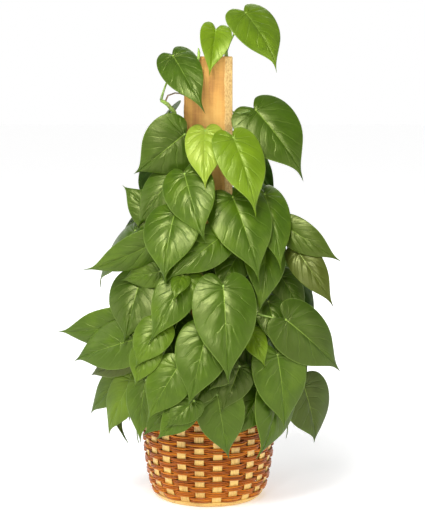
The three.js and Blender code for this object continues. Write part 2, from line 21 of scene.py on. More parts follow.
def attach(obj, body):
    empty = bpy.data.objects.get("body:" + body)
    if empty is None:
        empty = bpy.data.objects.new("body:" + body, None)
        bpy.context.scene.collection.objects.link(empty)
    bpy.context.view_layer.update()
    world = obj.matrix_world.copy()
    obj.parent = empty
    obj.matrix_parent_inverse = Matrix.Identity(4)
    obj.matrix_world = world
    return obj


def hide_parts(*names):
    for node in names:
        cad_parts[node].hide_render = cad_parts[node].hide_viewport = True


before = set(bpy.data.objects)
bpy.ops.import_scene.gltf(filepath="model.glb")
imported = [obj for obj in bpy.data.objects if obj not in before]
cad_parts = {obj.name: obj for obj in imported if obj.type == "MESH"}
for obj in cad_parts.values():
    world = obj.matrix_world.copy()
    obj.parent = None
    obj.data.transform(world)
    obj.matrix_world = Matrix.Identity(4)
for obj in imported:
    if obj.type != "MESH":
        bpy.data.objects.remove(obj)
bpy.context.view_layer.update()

LOG = logging.getLogger("philodendron")
BODY = "root"
UP = Vector((0, 0, 1))
FULL_TURN = 2 * math.pi
GOLDEN = 0.61803399
VEINS = 9.0
PLAIN_TONE = 0.34
BLADE_BOW = 0.07
BLADE_FOLD = -0.08
BLADE_THICKNESS = 0.0008
FACING_UP = 0.3 * UP
Triple = tuple[float, float, float]
Colour = Triple
Spot = tuple[float, float]
Stops = tuple[tuple[float, Colour], ...]
Look = tuple[object, object, object]
Bend = tuple[Vector, Vector, Vector, Vector]


def between(rows: Sequence[Spot], at: float) -> float:
    """Value at a place between the rows of a two-column list by rising place, held at its ends."""
    return float(np.interp(at, [row[0] for row in rows], [row[1] for row in rows]))


def outward(azimuth: float) -> Vector:
    """Level direction away from the post, by degrees from the front towards the right."""
    turn = math.radians(azimuth)
    return Vector((math.sin(turn), -math.cos(turn), 0))


def fraction(value: float) -> float:
    """Fraction of a number that is left after its whole part."""
    return value - math.floor(value)


def spread(index: int, kind: int) -> float:
    """Even spread between -1 and 1 that repeats the same way each run."""
    return 2 * fraction(index * 0.75487767 + kind * 0.56984029) - 1


def bell(distance: np.ndarray, width: float) -> np.ndarray:
    """A bell curve: 1 at no distance, and soon 0 past its width."""
    return np.exp(-((distance / width) ** 2))


class Signal:
    """An output socket that can be reckoned with: each sum or step adds a node to its tree."""

    def __init__(self, graph: "Graph", socket: bpy.types.NodeSocket) -> None:
        """Holds the socket and the graph that it belongs to."""
        self.graph = graph
        self.socket = socket

    def math(self, operation: str, *others: object) -> "Signal":
        """The result of a math node that takes this signal first."""
        return self.graph.get("ShaderNodeMath", dict(enumerate((self, *others))), operation=operation)

    __add__ = partialmethod(math, "ADD")
    __sub__ = partialmethod(math, "SUBTRACT")
    __mul__ = partialmethod(math, "MULTIPLY")
    __truediv__ = partialmethod(math, "DIVIDE")

    def fade(self, low: float, high: float, start: float = 0.0, end: float = 1.0) -> "Signal":
        """This signal mapped smoothly from one range to another."""
        inputs = {"Value": self, 1: low, 2: high, 3: start, 4: end}
        return self.graph.get("ShaderNodeMapRange", inputs, interpolation_type="SMOOTHSTEP")

    def mix(self, first: object, second: object) -> "Signal":
        """Two colours mixed, with this signal as the second one's share."""
        inputs = {0: self, 6: rgba(first), 7: rgba(second)}
        return self.graph.get("ShaderNodeMix", inputs, out=2, data_type="RGBA")

    def ramp(self, stops: Stops) -> "Signal":
        """The colour of a ramp where this signal points.

        Args:
            stops: Places on the ramp and their colours.

        Returns:
            The colour.
        """
        node = self.graph.add("ShaderNodeValToRGB", {0: self})
        elements = node.color_ramp.elements
        while len(elements) < len(stops):
            elements.new(0.5)
        for element, (place, colour) in zip(elements, stops):
            element.position = place
            element.color = rgba(colour)
        return Signal(self.graph, node.outputs[0])


def rgba(colour: object) -> object:
    """A colour with its alpha, or the signal as it is."""
    return colour if isinstance(colour, Signal) else (*colour, 1.0)


class Graph:
    """A node tree being made, with short calls that add nodes and join their sockets."""

    def __init__(self, tree: bpy.types.NodeTree) -> None:
        """Starts on a tree."""
        self.tree = tree

    def feed(self, socket: bpy.types.NodeSocket, value: object) -> None:
        """Links an input to a signal, or sets its plain value.

        Args:
            socket: The input to fill.
            value: The signal or value.
        """
        if isinstance(value, Signal):
            self.tree.links.new(value.socket, socket)
        else:
            socket.default_value = value

    def add(self, kind: str, inputs: dict | None = None, **settings: object) -> bpy.types.Node:
        """Adds a node.

        Args:
            kind: The node's type name.
            inputs: Signals or values for its inputs, by name or number.
            **settings: The node's own properties.

        Returns:
            The new node.
        """
        node = self.tree.nodes.new(kind)
        for name, value in settings.items():
            setattr(node, name, value)
        for name, value in (inputs or {}).items():
            self.feed(node.inputs[name], value)
        return node

    def get(self, kind: str, inputs: dict | None = None, out: int | str = 0, **settings: object) -> Signal:
        """Adds a node and returns one of its outputs."""
        return Signal(self, self.add(kind, inputs, **settings).outputs[out])

    def attribute(self, name: str) -> Signal:
        """Reads a number that the mesh holds at each point."""
        return self.get("ShaderNodeAttribute", out="Fac", attribute_name=name)

    def place(self) -> Signal:
        """The object's own coordinates."""
        return self.get("ShaderNodeTexCoord", out="Object")

    def noise(self, scale: float, detail: float, stretch: Triple = (1, 1, 1)) -> Signal:
        """Noise about 0.5, by cells to a metre, octaves and scale along each of the object's axes."""
        mapped = self.get("ShaderNodeMapping", {"Vector": self.place(), "Scale": stretch})
        return self.get("ShaderNodeTexNoise", {"Vector": mapped, "Scale": scale, "Detail": detail})


@dataclass(frozen=True)
class Finish:
    """A procedural surface. Each kind of finish paints its own colour, roughness and relief."""

    name: str
    roughness: float = 0.5
    coat: float = 0.0
    coat_roughness: float = 0.15
    specular: float = 0.5
    sheen: Colour = (1.0, 1.0, 1.0)
    relief_depth: float = 0.0004

    def paint(self, graph: Graph) -> Look:
        """Colour, roughness and relief height of the surface, as signals or values."""
        raise NotImplementedError

    def material(self) -> bpy.types.Material:
        """The finish as a material, made once.

        Returns:
            The material of this name.
        """
        if self.name in bpy.data.materials:
            return bpy.data.materials[self.name]
        made = bpy.data.materials.new(self.name)
        made.use_nodes = True
        graph = Graph(made.node_tree)
        colour, roughness, height = self.paint(graph)
        bump = {"Height": height, "Strength": 1.0, "Distance": self.relief_depth}
        inputs = {
            "Base Color": rgba(colour), "Roughness": roughness, "Normal": graph.get("ShaderNodeBump", bump),
            "Specular IOR Level": self.specular, "Specular Tint": rgba(self.sheen),
            "Coat Weight": self.coat, "Coat Roughness": self.coat_roughness,
        }
        shader = made.node_tree.nodes["Principled BSDF"]
        for name, value in inputs.items():
            graph.feed(shader.inputs[name], value)
        return made


@dataclass(frozen=True)
class LeafFace(Finish):
    """Waxy upper face: green by the leaf's tone, with a thin pale midrib, faint side veins and a pale margin,
    which is painted light shining through the thin edge.
    """

    roughness: float = 0.34
    coat: float = 0.04
    coat_roughness: float = 0.25
    specular: float = 0.58
    sheen: Colour = (0.91, 1.0, 0.36)
    relief_depth: float = 0.00045
    # Greens by tone, dark to pale. Low tones serve as painted shade on leaves in shade, and a raised tone
    # serves as a painted highlight.
    greens: Stops = (
        (0.0, (0.013, 0.025, 0.0015)), (0.36, (0.036, 0.079, 0.002)),
        (0.7, (0.150, 0.245, 0.006)), (1.0, (0.300, 0.360, 0.050)),
    )
    vein: Colour = (0.210, 0.320, 0.040)
    brown: Colour = (0.046, 0.052, 0.005)
    side_vein_share: float = 0.10
    fine_vein_share: float = 0.015
    midrib_share: float = 0.55
    lit_margin_share: float = 0.35

    def paint(self, graph: Graph) -> Look:
        """Paints the face, with side veins that fade towards the margin and the tip.

        Args:
            graph: The material's graph.

        Returns:
            Colour, roughness and relief height, as signals or values.
        """
        along = graph.attribute("along")
        across = graph.attribute("across")
        tone = graph.attribute("tone") + graph.noise(38, 4).fade(0.3, 0.7, -0.05, 0.05)
        body = graph.attribute("olive").mix(tone.ramp(self.greens), self.brown)
        count = along * VEINS + graph.noise(60, 1).fade(0.2, 0.8, -0.12, 0.12)
        to_tip = along.fade(0.72, 0.92, 1, 0)
        side_vein = count.math("PINGPONG", 0.5).fade(0.0, 0.07, 1, 0)
        side_vein = side_vein * (across.fade(0.55, 0.95, 1, 0.15) * to_tip)
        fine_vein = (count * 3).math("PINGPONG", 0.5).fade(0.0, 0.3, 1, 0) * to_tip
        shown = side_vein * self.side_vein_share + fine_vein * self.fine_vein_share
        shown = shown + across.fade(0.006, 0.03, 1, 0) * self.midrib_share
        # Pale margin: painted light shining through the thin edge.
        shown = shown + across.fade(0.965, 0.998) * self.lit_margin_share
        colour = shown.math("MINIMUM", 0.8).mix(body, self.vein)
        roughness = graph.noise(120, 3).fade(0.3, 0.7, self.roughness - 0.06, self.roughness + 0.08)
        return colour, roughness, side_vein * -0.7 + fine_vein * -0.14 + graph.noise(1500, 2) * 0.12


@dataclass(frozen=True)
class LeafBack(Finish):
    """Paler, duller underside with raised veins."""

    roughness: float = 0.52
    specular: float = 0.3
    sheen: Colour = (0.9, 1.0, 0.6)
    greens: Stops = ((0.1, (0.050, 0.120, 0.018)), (0.9, (0.190, 0.350, 0.050)))
    vein: Colour = (0.240, 0.380, 0.090)

    def paint(self, graph: Graph) -> Look:
        """Paints the underside.

        Args:
            graph: The material's graph.

        Returns:
            Colour, roughness and relief height, as signals or values.
        """
        tone = graph.attribute("tone") + graph.noise(45, 3).fade(0.3, 0.7, -0.06, 0.06)
        side_vein = (graph.attribute("along") * VEINS).math("PINGPONG", 0.5).fade(0.0, 0.08, 1, 0)
        midrib = graph.attribute("across").fade(0.01, 0.05, 1, 0)
        shown = (side_vein * 0.35).math("MAXIMUM", midrib)
        colour = (shown * 0.75).mix(tone.ramp(self.greens), self.vein)
        return colour, self.roughness, shown + graph.noise(900, 3) * 0.3


@dataclass(frozen=True)
class StemSkin(Finish):
    """Smooth green skin of stems and stalks, browner where it is old."""

    roughness: float = 0.42
    coat: float = 0.1
    young: Colour = (0.260, 0.400, 0.055)
    old: Colour = (0.085, 0.140, 0.030)
    bark: Colour = (0.150, 0.085, 0.035)

    def paint(self, graph: Graph) -> Look:
        """Paints the skin, speckled and streaked along the stem.

        Args:
            graph: The material's graph.

        Returns:
            Colour, roughness and relief height, as signals or values.
        """
        age = graph.attribute("age")
        streak = graph.noise(260, 3, (1, 1, 0.12))
        green = age.fade(0.1, 0.65).mix(self.young, self.old)
        speckled = (streak.fade(0.52, 0.7) * 0.4).mix(green, self.bark)
        return age.fade(0.75, 1.0).mix(speckled, self.bark), self.roughness, streak


@dataclass(frozen=True)
class Grained(Finish):
    """Colours on a ramp by a sum of a grain, broader patches and each strand's own tint."""

    stops: Stops = ()
    grain: tuple = ()
    patch: tuple = ()
    grain_share: float = 0.5
    patch_share: float = 0.5
    strand_share: float = 0.0
    roughness_swing: Spot = (0.0, 0.0)

    def paint(self, graph: Graph) -> Look:
        """Paints the grain, which is the relief too.

        Args:
            graph: The material's graph.

        Returns:
            Colour, roughness and relief height, as signals or values.
        """
        grain = graph.noise(*self.grain)
        tone = graph.attribute("strand") * self.strand_share + graph.noise(*self.patch) * self.patch_share
        roughness = grain.fade(0.3, 0.7, *(self.roughness + swing for swing in self.roughness_swing))
        return (tone + grain * self.grain_share).ramp(self.stops), roughness, grain


@dataclass(frozen=True)
class SawnWood(Finish):
    """Unfinished sawn post: warm tan with fibres and saw marks, a hewn left face painted darker as shade, and
    a rough pale edge.
    """

    roughness: float = 0.74
    relief_depth: float = 0.0011
    face: Stops = ((0.36, (0.340, 0.145, 0.030)), (0.5, (0.530, 0.272, 0.056)), (0.66, (0.600, 0.345, 0.085)))
    edge: Stops = ((0.36, (0.500, 0.280, 0.080)), (0.6, (0.720, 0.500, 0.190)))
    edge_from: float = 0.0238
    shaded_face_to: float = -0.0036

    def paint(self, graph: Graph) -> Look:
        """Paints the sawn faces, and the torn edge by its place across the post.

        Args:
            graph: The material's graph.

        Returns:
            Colour, roughness and relief height, as signals or values.
        """
        side = graph.get("ShaderNodeSeparateXYZ", {0: graph.place()})
        torn = graph.noise(150, 3, (1, 1, 0.35)) * 0.006 + side
        on_edge = torn.fade(self.edge_from, self.edge_from + 0.001)
        fibre = graph.noise(340, 4, (1, 1, 0.05))
        bands = graph.noise(62, 3, (1, 1, 0.07))
        patch = graph.noise(24, 4)
        saw = graph.noise(420, 3, (0.12, 0.12, 1))
        crumb = graph.noise(700, 3, (1, 1, 0.5))
        tone = fibre * 0.25 + bands * 0.26 + patch * 0.42 + saw * 0.12
        # The left face is painted darker: painted shade.
        tone = tone + side.fade(self.shaded_face_to - 0.003, self.shaded_face_to, -0.06, 0.0)
        height = fibre * 0.7 + saw * 0.45 + crumb * on_edge * 0.8
        return on_edge.mix(tone.ramp(self.face), crumb.ramp(self.edge)), self.roughness, height


@dataclass(frozen=True)
class Plastic(Finish):
    """Dark green-black moulded plastic of the grow pot."""

    roughness: float = 0.38
    body: Colour = (0.012, 0.036, 0.032)
    scuffed: Colour = (0.030, 0.062, 0.056)

    def paint(self, graph: Graph) -> Look:
        """Paints the plastic, with duller scuffs.

        Args:
            graph: The material's graph.

        Returns:
            Colour, roughness and relief height, as signals or values.
        """
        scuff = graph.noise(90, 4)
        colour = scuff.fade(0.45, 0.75).mix(self.body, self.scuffed)
        return colour, scuff.fade(0.3, 0.8, self.roughness, self.roughness + 0.15), graph.noise(700, 2)


@dataclass(frozen=True)
class StudioPaper(Finish):
    """Plain pale floor of the studio, which glows softly further off, as a light table does."""

    roughness: float = 0.9
    specular: float = 0.1
    body: Colour = (0.93, 0.93, 0.93)
    glow: Spot = (0.28, 0.66)
    glow_reach: Spot = (0.3, 2.6)

    def material(self) -> bpy.types.Material:
        """The paper as a material, with its glow.

        Returns:
            The material.
        """
        made = super().material()
        graph = Graph(made.node_tree)
        shader = made.node_tree.nodes["Principled BSDF"]
        off = graph.get("ShaderNodeVectorMath", {0: graph.place()}, out="Value", operation="LENGTH")
        shader.inputs["Emission Color"].default_value = (1, 1, 1, 1)
        graph.feed(shader.inputs["Emission Strength"], off.fade(*self.glow_reach, *self.glow))
        return made

    def paint(self, graph: Graph) -> Look:
        """Paints the plain floor."""
        return self.body, self.roughness, graph.noise(8, 1)


LEAF_FACE = LeafFace("leaf_face")
LEAF_BACK = LeafBack("leaf_back")
STEM_SKIN = StemSkin("stem_skin")
CANE = Grained(
    "varnished_cane", roughness=0.42, coat=0.26, coat_roughness=0.1, specular=0.34, sheen=(1.0, 0.72, 0.4),
    relief_depth=0.00025, grain=(420, 3, (0.3, 0.3, 2.6)), patch=(30, 3), grain_share=0.35, patch_share=0.3,
    strand_share=0.55, roughness_swing=(-0.05, 0.12),
    stops=((0.22, (0.120, 0.025, 0.003)), (0.6, (0.375, 0.086, 0.004)), (0.95, (0.680, 0.230, 0.012))),
)
PALE_WOOD = Grained(
    "pale_split_wood", roughness=0.42, coat=0.3, grain=(520, 3, (1, 1, 0.06)), patch=(22, 2),
    stops=((0.3, (0.500, 0.260, 0.050)), (0.52, (0.800, 0.515, 0.130))),
)
BASE_BOARD = replace(PALE_WOOD, name="pale_base_board", grain=(520, 3))
SAWN_WOOD = SawnWood("sawn_post_wood")
PLASTIC = Plastic("grow_pot_plastic")
EARTH = Grained(
    "potting_soil", roughness=0.93, specular=0.3, relief_depth=0.0012, grain=(420, 5), patch=(80, 3),
    stops=((0.36, (0.016, 0.010, 0.006)), (0.7, (0.085, 0.052, 0.030))),
)
PAPER = StudioPaper("studio_paper")


class Socket(Enum):
    """Kinds of named input that a recipe takes."""

    NUMBER = "NodeSocketFloat"
    COUNT = "NodeSocketInt"
    FINISH = "NodeSocketMaterial"


class Recipe:
    """A Geometry Nodes tree with named inputs, and the baking of what it makes to a plain mesh."""

    def __init__(self, name: str, counts: Sequence[str], numbers: Sequence[str] = ()) -> None:
        """Starts the tree.

        Args:
            name: The tree's name.
            counts: Names of its inputs that are whole numbers.
            numbers: Names of its other inputs, besides the geometry and the finish.
        """
        self.tree = bpy.data.node_groups.new(name, "GeometryNodeTree")
        kinds = {**dict.fromkeys(counts, Socket.COUNT), **dict.fromkeys(numbers, Socket.NUMBER)}
        face = self.tree.interface
        face.new_socket("Geometry", in_out="INPUT", socket_type="NodeSocketGeometry")
        for label, kind in {**kinds, "finish": Socket.FINISH}.items():
            face.new_socket(label, in_out="INPUT", socket_type=kind.value)
        face.new_socket("Geometry", in_out="OUTPUT", socket_type="NodeSocketGeometry")
        self.graph = Graph(self.tree)
        outputs = self.graph.add("NodeGroupInput").outputs
        self.given = {socket.name: Signal(self.graph, socket) for socket in outputs}

    def close(self, geometry: Signal) -> None:
        """Ends the tree with real geometry that has its material.

        Args:
            geometry: What the tree has made.
        """
        real = self.graph.get("GeometryNodeRealizeInstances", {0: geometry})
        shaded = self.graph.get("GeometryNodeSetShadeSmooth", {"Geometry": real})
        inputs = {"Geometry": shaded, "Material": self.given["finish"]}
        self.graph.add("NodeGroupOutput", {0: self.graph.get("GeometryNodeSetMaterial", inputs)})

    def bake(self, name: str, start: bpy.types.Mesh, finish: Finish, **values: float) -> bpy.types.Object:
        """Runs the tree on a mesh and keeps the result as a plain mesh.

        Args:
            name: The new piece's name.
            start: The mesh that the tree starts from.
            finish: What the piece is dressed in.
            **values: The other inputs' values.

        Returns:
            The piece.
        """
        piece = put(name, start)
        modifier = piece.modifiers.new("made", "NODES")
        modifier.node_group = self.tree
        values["finish"] = finish.material()
        for item in self.tree.interface.items_tree:
            if item.in_out == "INPUT" and item.name in values:
                modifier[item.identifier] = values[item.name]
        seen = piece.evaluated_get(bpy.context.evaluated_depsgraph_get())
        baked = bpy.data.meshes.new_from_object(seen)
        piece.modifiers.clear()
        piece.data = baked
        baked.name = name
        return piece


def put(name: str, data: bpy.types.ID, *finishes: Finish) -> bpy.types.Object:
    """Puts a mesh, lamp or camera in the scene as an object at the origin.

    Args:
        name: The object's name.
        data: What it shows.
        *finishes: Finishes that its faces are dressed in.

    Returns:
        The object.
    """
    for finish in finishes:
        data.materials.append(finish.material())
    piece = bpy.data.objects.new(name, data)
    bpy.context.scene.collection.objects.link(piece)
    return piece


def mesh_of(name: str, points: Sequence, faces: Sequence, edges: Sequence = ()) -> bpy.types.Mesh:
    """Points, edges and faces as a mesh.

    Args:
        name: The mesh's name.
        points: Its points.
        faces: Its faces, as point numbers.
        edges: Its loose edges.

    Returns:
        The mesh.
    """
    mesh = bpy.data.meshes.new(name)
    mesh.from_pydata([tuple(point) for point in points], [tuple(edge) for edge in edges], faces)
    mesh.update()
    return mesh


def store(mesh: bpy.types.Mesh, name: str, values: Sequence[float]) -> None:
    """Stores a number at each point of a mesh."""
    layer = mesh.attributes.new(name, "FLOAT", "POINT")
    layer.data.foreach_set("value", np.asarray(values, dtype=np.float32))


def joined(name: str, pieces: Sequence[bpy.types.Object]) -> bpy.types.Object:
    """Joins pieces into the first one and names it.

    Args:
        name: The name of the whole.
        pieces: The pieces, which all sit at the origin.

    Returns:
        The first piece, which now holds them all.
    """
    with bpy.context.temp_override(active_object=pieces[0], selected_editable_objects=list(pieces)):
        bpy.ops.object.join()
    pieces[0].name = name
    pieces[0].data.name = name
    return pieces[0]


def settle(piece: bpy.types.Object, slot: str, *nodes: str) -> None:
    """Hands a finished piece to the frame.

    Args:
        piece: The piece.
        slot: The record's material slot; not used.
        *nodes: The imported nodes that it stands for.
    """
    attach(piece, BODY)
    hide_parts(*nodes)
    LOG.info("%s: %d faces, for %s", piece.name, len(piece.data.polygons), ", ".join(nodes))


def belts(first: int, levels: int, around: int) -> list[tuple[int, ...]]:
    """Quads between rings of points that follow each other.

    Args:
        first: The first ring's first point.
        levels: How many belts of quads there are.
        around: Points in a ring.

    Returns:
        The faces.
    """
    starts = range(first, first + levels * around, around)
    pairs = [(i, (i + 1) % around) for i in range(around)]
    return [(a + i, a + j, a + around + j, a + around + i) for a in starts for i, j in pairs]


def tube_mesh(name: str, points: Sequence, around: int) -> bpy.types.Mesh:
    """A tube through rings of points, with a flat cap at each end.

    Args:
        name: The mesh's name.
        points: The points, ring after ring.
        around: Points in a ring.

    Returns:
        The mesh.
    """
    last = len(points) - around
    caps = [tuple(reversed(range(around))), tuple(range(last, len(points)))]
    return mesh_of(name, points, belts(0, last // around, around) + caps)


def turned_mesh(name: str, section: Sequence[Spot], steps: int) -> bpy.types.Mesh:
    """A section turned round the Z axis, from the axis out and back to it.

    Args:
        name: The mesh's name.
        section: Radius and height of its points; the first and last are on the axis.
        steps: How many steps go round.

    Returns:
        The mesh, shaded smooth.
    """
    turns = [FULL_TURN * i / steps for i in range(steps)]
    points = [(0.0, 0.0, section[0][1])]
    for radius, height in section[1:-1]:
        points += [(radius * math.cos(turn), radius * math.sin(turn), height) for turn in turns]
    points.append((0.0, 0.0, section[-1][1]))
    end = len(points) - 1
    faces = [(0, 1 + (i + 1) % steps, 1 + i) for i in range(steps)]
    faces += belts(1, len(section) - 3, steps)
    faces += [(end - steps + i, end - steps + (i + 1) % steps, end) for i in range(steps)]
    mesh = mesh_of(name, points, faces)
    mesh.polygons.foreach_set("use_smooth", [True] * len(mesh.polygons))
    return mesh


@dataclass(frozen=True)
class Leaf:
    """Where one leaf lies before it is laid outwards, and how it looks. Its roll is in degrees."""

    name: str
    heel: Vector
    tip: Vector
    facing: Vector
    push: Vector
    width: float
    roll: float
    fold: float = BLADE_FOLD
    tone: float = PLAIN_TONE
    olive: float = 0.0

    def basis(self) -> tuple[Vector, Vector, Vector, float]:
        """The blade's own directions.

        Returns:
            Its axis, its direction across, its normal, and its length.
        """
        axis = self.tip - self.heel
        length = axis.length
        axis = axis / length
        normal = (self.facing - axis * self.facing.dot(axis)).normalized()
        normal = Matrix.Rotation(math.radians(self.roll), 3, axis) @ normal
        return axis, axis.cross(normal), normal, length

    def point(self, pushed: float, u: float, v: float, lift: float) -> Vector:
        """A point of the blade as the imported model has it.

        Args:
            pushed: How far the leaf is laid outwards.
            u: Share of the length from the heel.
            v: Share of the half width from the midrib.
            lift: Distance off the blade's middle surface.

        Returns:
            The point.
        """
        axis, across, normal, length = self.basis()
        half = self.width / 2
        height = 4 * BLADE_BOW * length * u * (1 - u) + self.fold * half * abs(v) + lift
        return self.heel + self.push * pushed + axis * (u * length) + across * (v * half) + normal * height


@dataclass(frozen=True)
class Eye:
    """The camera that took the photograph, as seen from the part's frame, and the studio round it."""

    place: Triple = (0.0053, -2.0, 0.573)
    pitch: float = math.radians(7.1)
    lens_px: float = 1504.0
    middle_px: Spot = (212.5, 257.5)
    picture_height_px: float = 515.0
    sensor: float = 36.0
    lights: tuple = (
        ("key_light", (-0.5, -1.35, 2.2), 0.9, 53.0),
        ("front_light", (-0.5, -1.9, 1.05), 0.3, 9.0),
        ("fill_light", (1.7, -1.5, 1.0), 1.2, 8.0),
        ("left_light", (-2.0, -0.6, 1.2), 1.2, 10.0),
        ("back_light", (0.3, 1.9, 1.8), 1.2, 22.0),
    )
    aim: Triple = (0, 0, 0.33)
    dome_strength: float = 0.26
    dome_fade: Spot = (0.18, 0.45)
    floor_reach: float = 14.0

    def placed(self, px: Spot, depth: float) -> Vector:
        """Where a picture point lies in the part's frame.

        Args:
            px: The picture point.
            depth: Distance in front of the post's axis.

        Returns:
            The point.
        """
        side = (px[0] - self.middle_px[0]) / self.lens_px
        rise = (self.middle_px[1] - px[1]) / self.lens_px
        reach = (-depth - self.place[1]) / (math.cos(self.pitch) + rise * math.sin(self.pitch))
        height = self.place[2] + reach * (rise * math.cos(self.pitch) - math.sin(self.pitch))
        return Vector((self.place[0] + reach * side, -depth, height))

    def set_up(self) -> None:
        """Makes the camera, the lights, the floor and the pale surroundings."""
        scene = bpy.context.scene
        scene.camera = put("camera", bpy.data.cameras.new("camera"))
        scene.camera.location = self.place
        scene.camera.rotation_euler = (math.pi / 2 - self.pitch, 0, 0)
        scene.camera.data.sensor_width = self.sensor
        scene.camera.data.lens = self.sensor * self.lens_px / self.picture_height_px
        for name, place, size, power in self.lights:
            lamp = bpy.data.lights.new(name, "AREA")
            lamp.size = size
            lamp.energy = power
            light = put(name, lamp)
            light.location = place
            light.rotation_euler = (Vector(self.aim) - Vector(place)).to_track_quat("-Z", "Y").to_euler()
        scene.world = bpy.data.worlds.new("studio")
        scene.world.use_nodes = True
        graph = Graph(scene.world.node_tree)
        backdrop = scene.world.node_tree.nodes["Background"]
        backdrop.inputs["Color"].default_value = (1, 1, 1, 1)
        direction = graph.get("ShaderNodeTexCoord", out="Generated")
        rise = graph.get("ShaderNodeSeparateXYZ", {0: direction}, out=2).math("ABSOLUTE")
        graph.feed(backdrop.inputs["Strength"], rise.fade(*self.dome_fade, 1.0, self.dome_strength))
        scene.view_settings.view_transform = "Standard"
        reach = self.floor_reach
        corners = [(-reach, -reach, 0), (reach, -reach, 0), (reach, reach, 0), (-reach, reach, 0)]
        put("floor", mesh_of("floor", corners, [(0, 1, 2, 3)]), PAPER)


EYE = Eye()


@dataclass(frozen=True)
class Vine:
    """One climbing stem: where it stands round the post, and how high it goes."""

    name: str
    azimuth: float
    top: float
    end: tuple = ()
    half_width: float = 0.044
    half_depth: float = 0.030
    sway: float = 0.0016
    sway_heights: Spot = (0.033, 0.039)
    base: float = 0.062
    radius: float = 0.0026

    def stem_point(self, height: float) -> Vector:
        """A point on the stem at a height, or at its tip above that.

        Args:
            height: The height.

        Returns:
            The point.
        """
        if self.end and height > self.top:
            return Vector(self.end[-1])
        turn = math.radians(self.azimuth)
        low = min(height, self.top)
        x = self.half_width * math.sin(turn) + self.sway * math.sin(low / self.sway_heights[0] + turn)
        y = -self.half_depth * math.cos(turn) + self.sway * math.cos(low / self.sway_heights[1] + 2 * turn)
        return Vector((x, y, low))


LEFT_SHOOT = ((-0.045, -0.012, 0.518), (-0.054, -0.018, 0.529), (-0.062, -0.022, 0.534))
VINES = (
    Vine("vine_front", 0, 0.235),
    Vine("vine_front_left", -38, 0.400),
    Vine("vine_left", -82, 0.508, LEFT_SHOOT),
    Vine("vine_back_left", -134, 0.540),
    Vine("vine_back", -172, 0.500),
    Vine("vine_back_right", 150, 0.598),
    Vine("vine_right", 82, 0.512),
    Vine("vine_front_right", 36, 0.396),
)

FORWARD = (-0.034, -0.008)
DEEP = (-0.052, -0.040)


@dataclass(frozen=True)
class LeafySurface:
    """The rounded surface that the leaves' tips make round the post, wider at the sides than in front."""

    profile: tuple = (
        (0.070, 0.108), (0.100, 0.118), (0.150, 0.126), (0.215, 0.128), (0.300, 0.108), (0.390, 0.082),
        (0.455, 0.062), (0.520, 0.048), (0.590, 0.038), (0.660, 0.028),
    )
    first_depth: float = 0.080
    side_stretch: float = 1.2
    least_depth_share: float = 0.06

    def radius(self, height: float) -> float:
        """Its radius at a height."""
        return between(self.profile, height)

    def meet(self, px: Spot, forward: float) -> Vector:
        """Where a picture point meets the surface.

        Args:
            px: The picture point.
            forward: How far in front of the surface it lies.

        Returns:
            The point.
        """
        first = EYE.placed(px, self.first_depth)
        radius = self.radius(first.z)
        share = first.x / (self.side_stretch * radius)
        depth = radius * math.sqrt(max(self.least_depth_share, 1 - share * share))
        return EYE.placed(px, depth + forward)


SURFACE = LeafySurface()


@dataclass(frozen=True)
class Seen:
    """A front leaf as the photograph shows it: where its heel and tip are, its width, and how it looks."""

    name: str
    heel_px: Spot
    tip_px: Spot
    width: float
    tone: float = PLAIN_TONE
    olive: float = 0.0
    roll: float = 0.0
    fold: float = BLADE_FOLD
    forward: Spot = FORWARD
    facing_front: Triple = (0, -0.75, 0.2)
    facing_aside: float = 0.4

    def leaf(self) -> Leaf:
        """The leaf before it is laid outwards, towards the camera.

        Returns:
            The leaf.
        """
        heel = SURFACE.meet(self.heel_px, self.forward[0])
        tip = SURFACE.meet(self.tip_px, self.forward[1])
        middle = (heel + tip) * Vector((1, 1, 0))
        facing = Vector(self.facing_front) + self.facing_aside * middle.normalized()
        push = (Vector(EYE.place) - heel).normalized()
        look = (self.width, self.roll, self.fold, self.tone, self.olive)
        return Leaf(self.name, heel, tip, facing, push, *look)
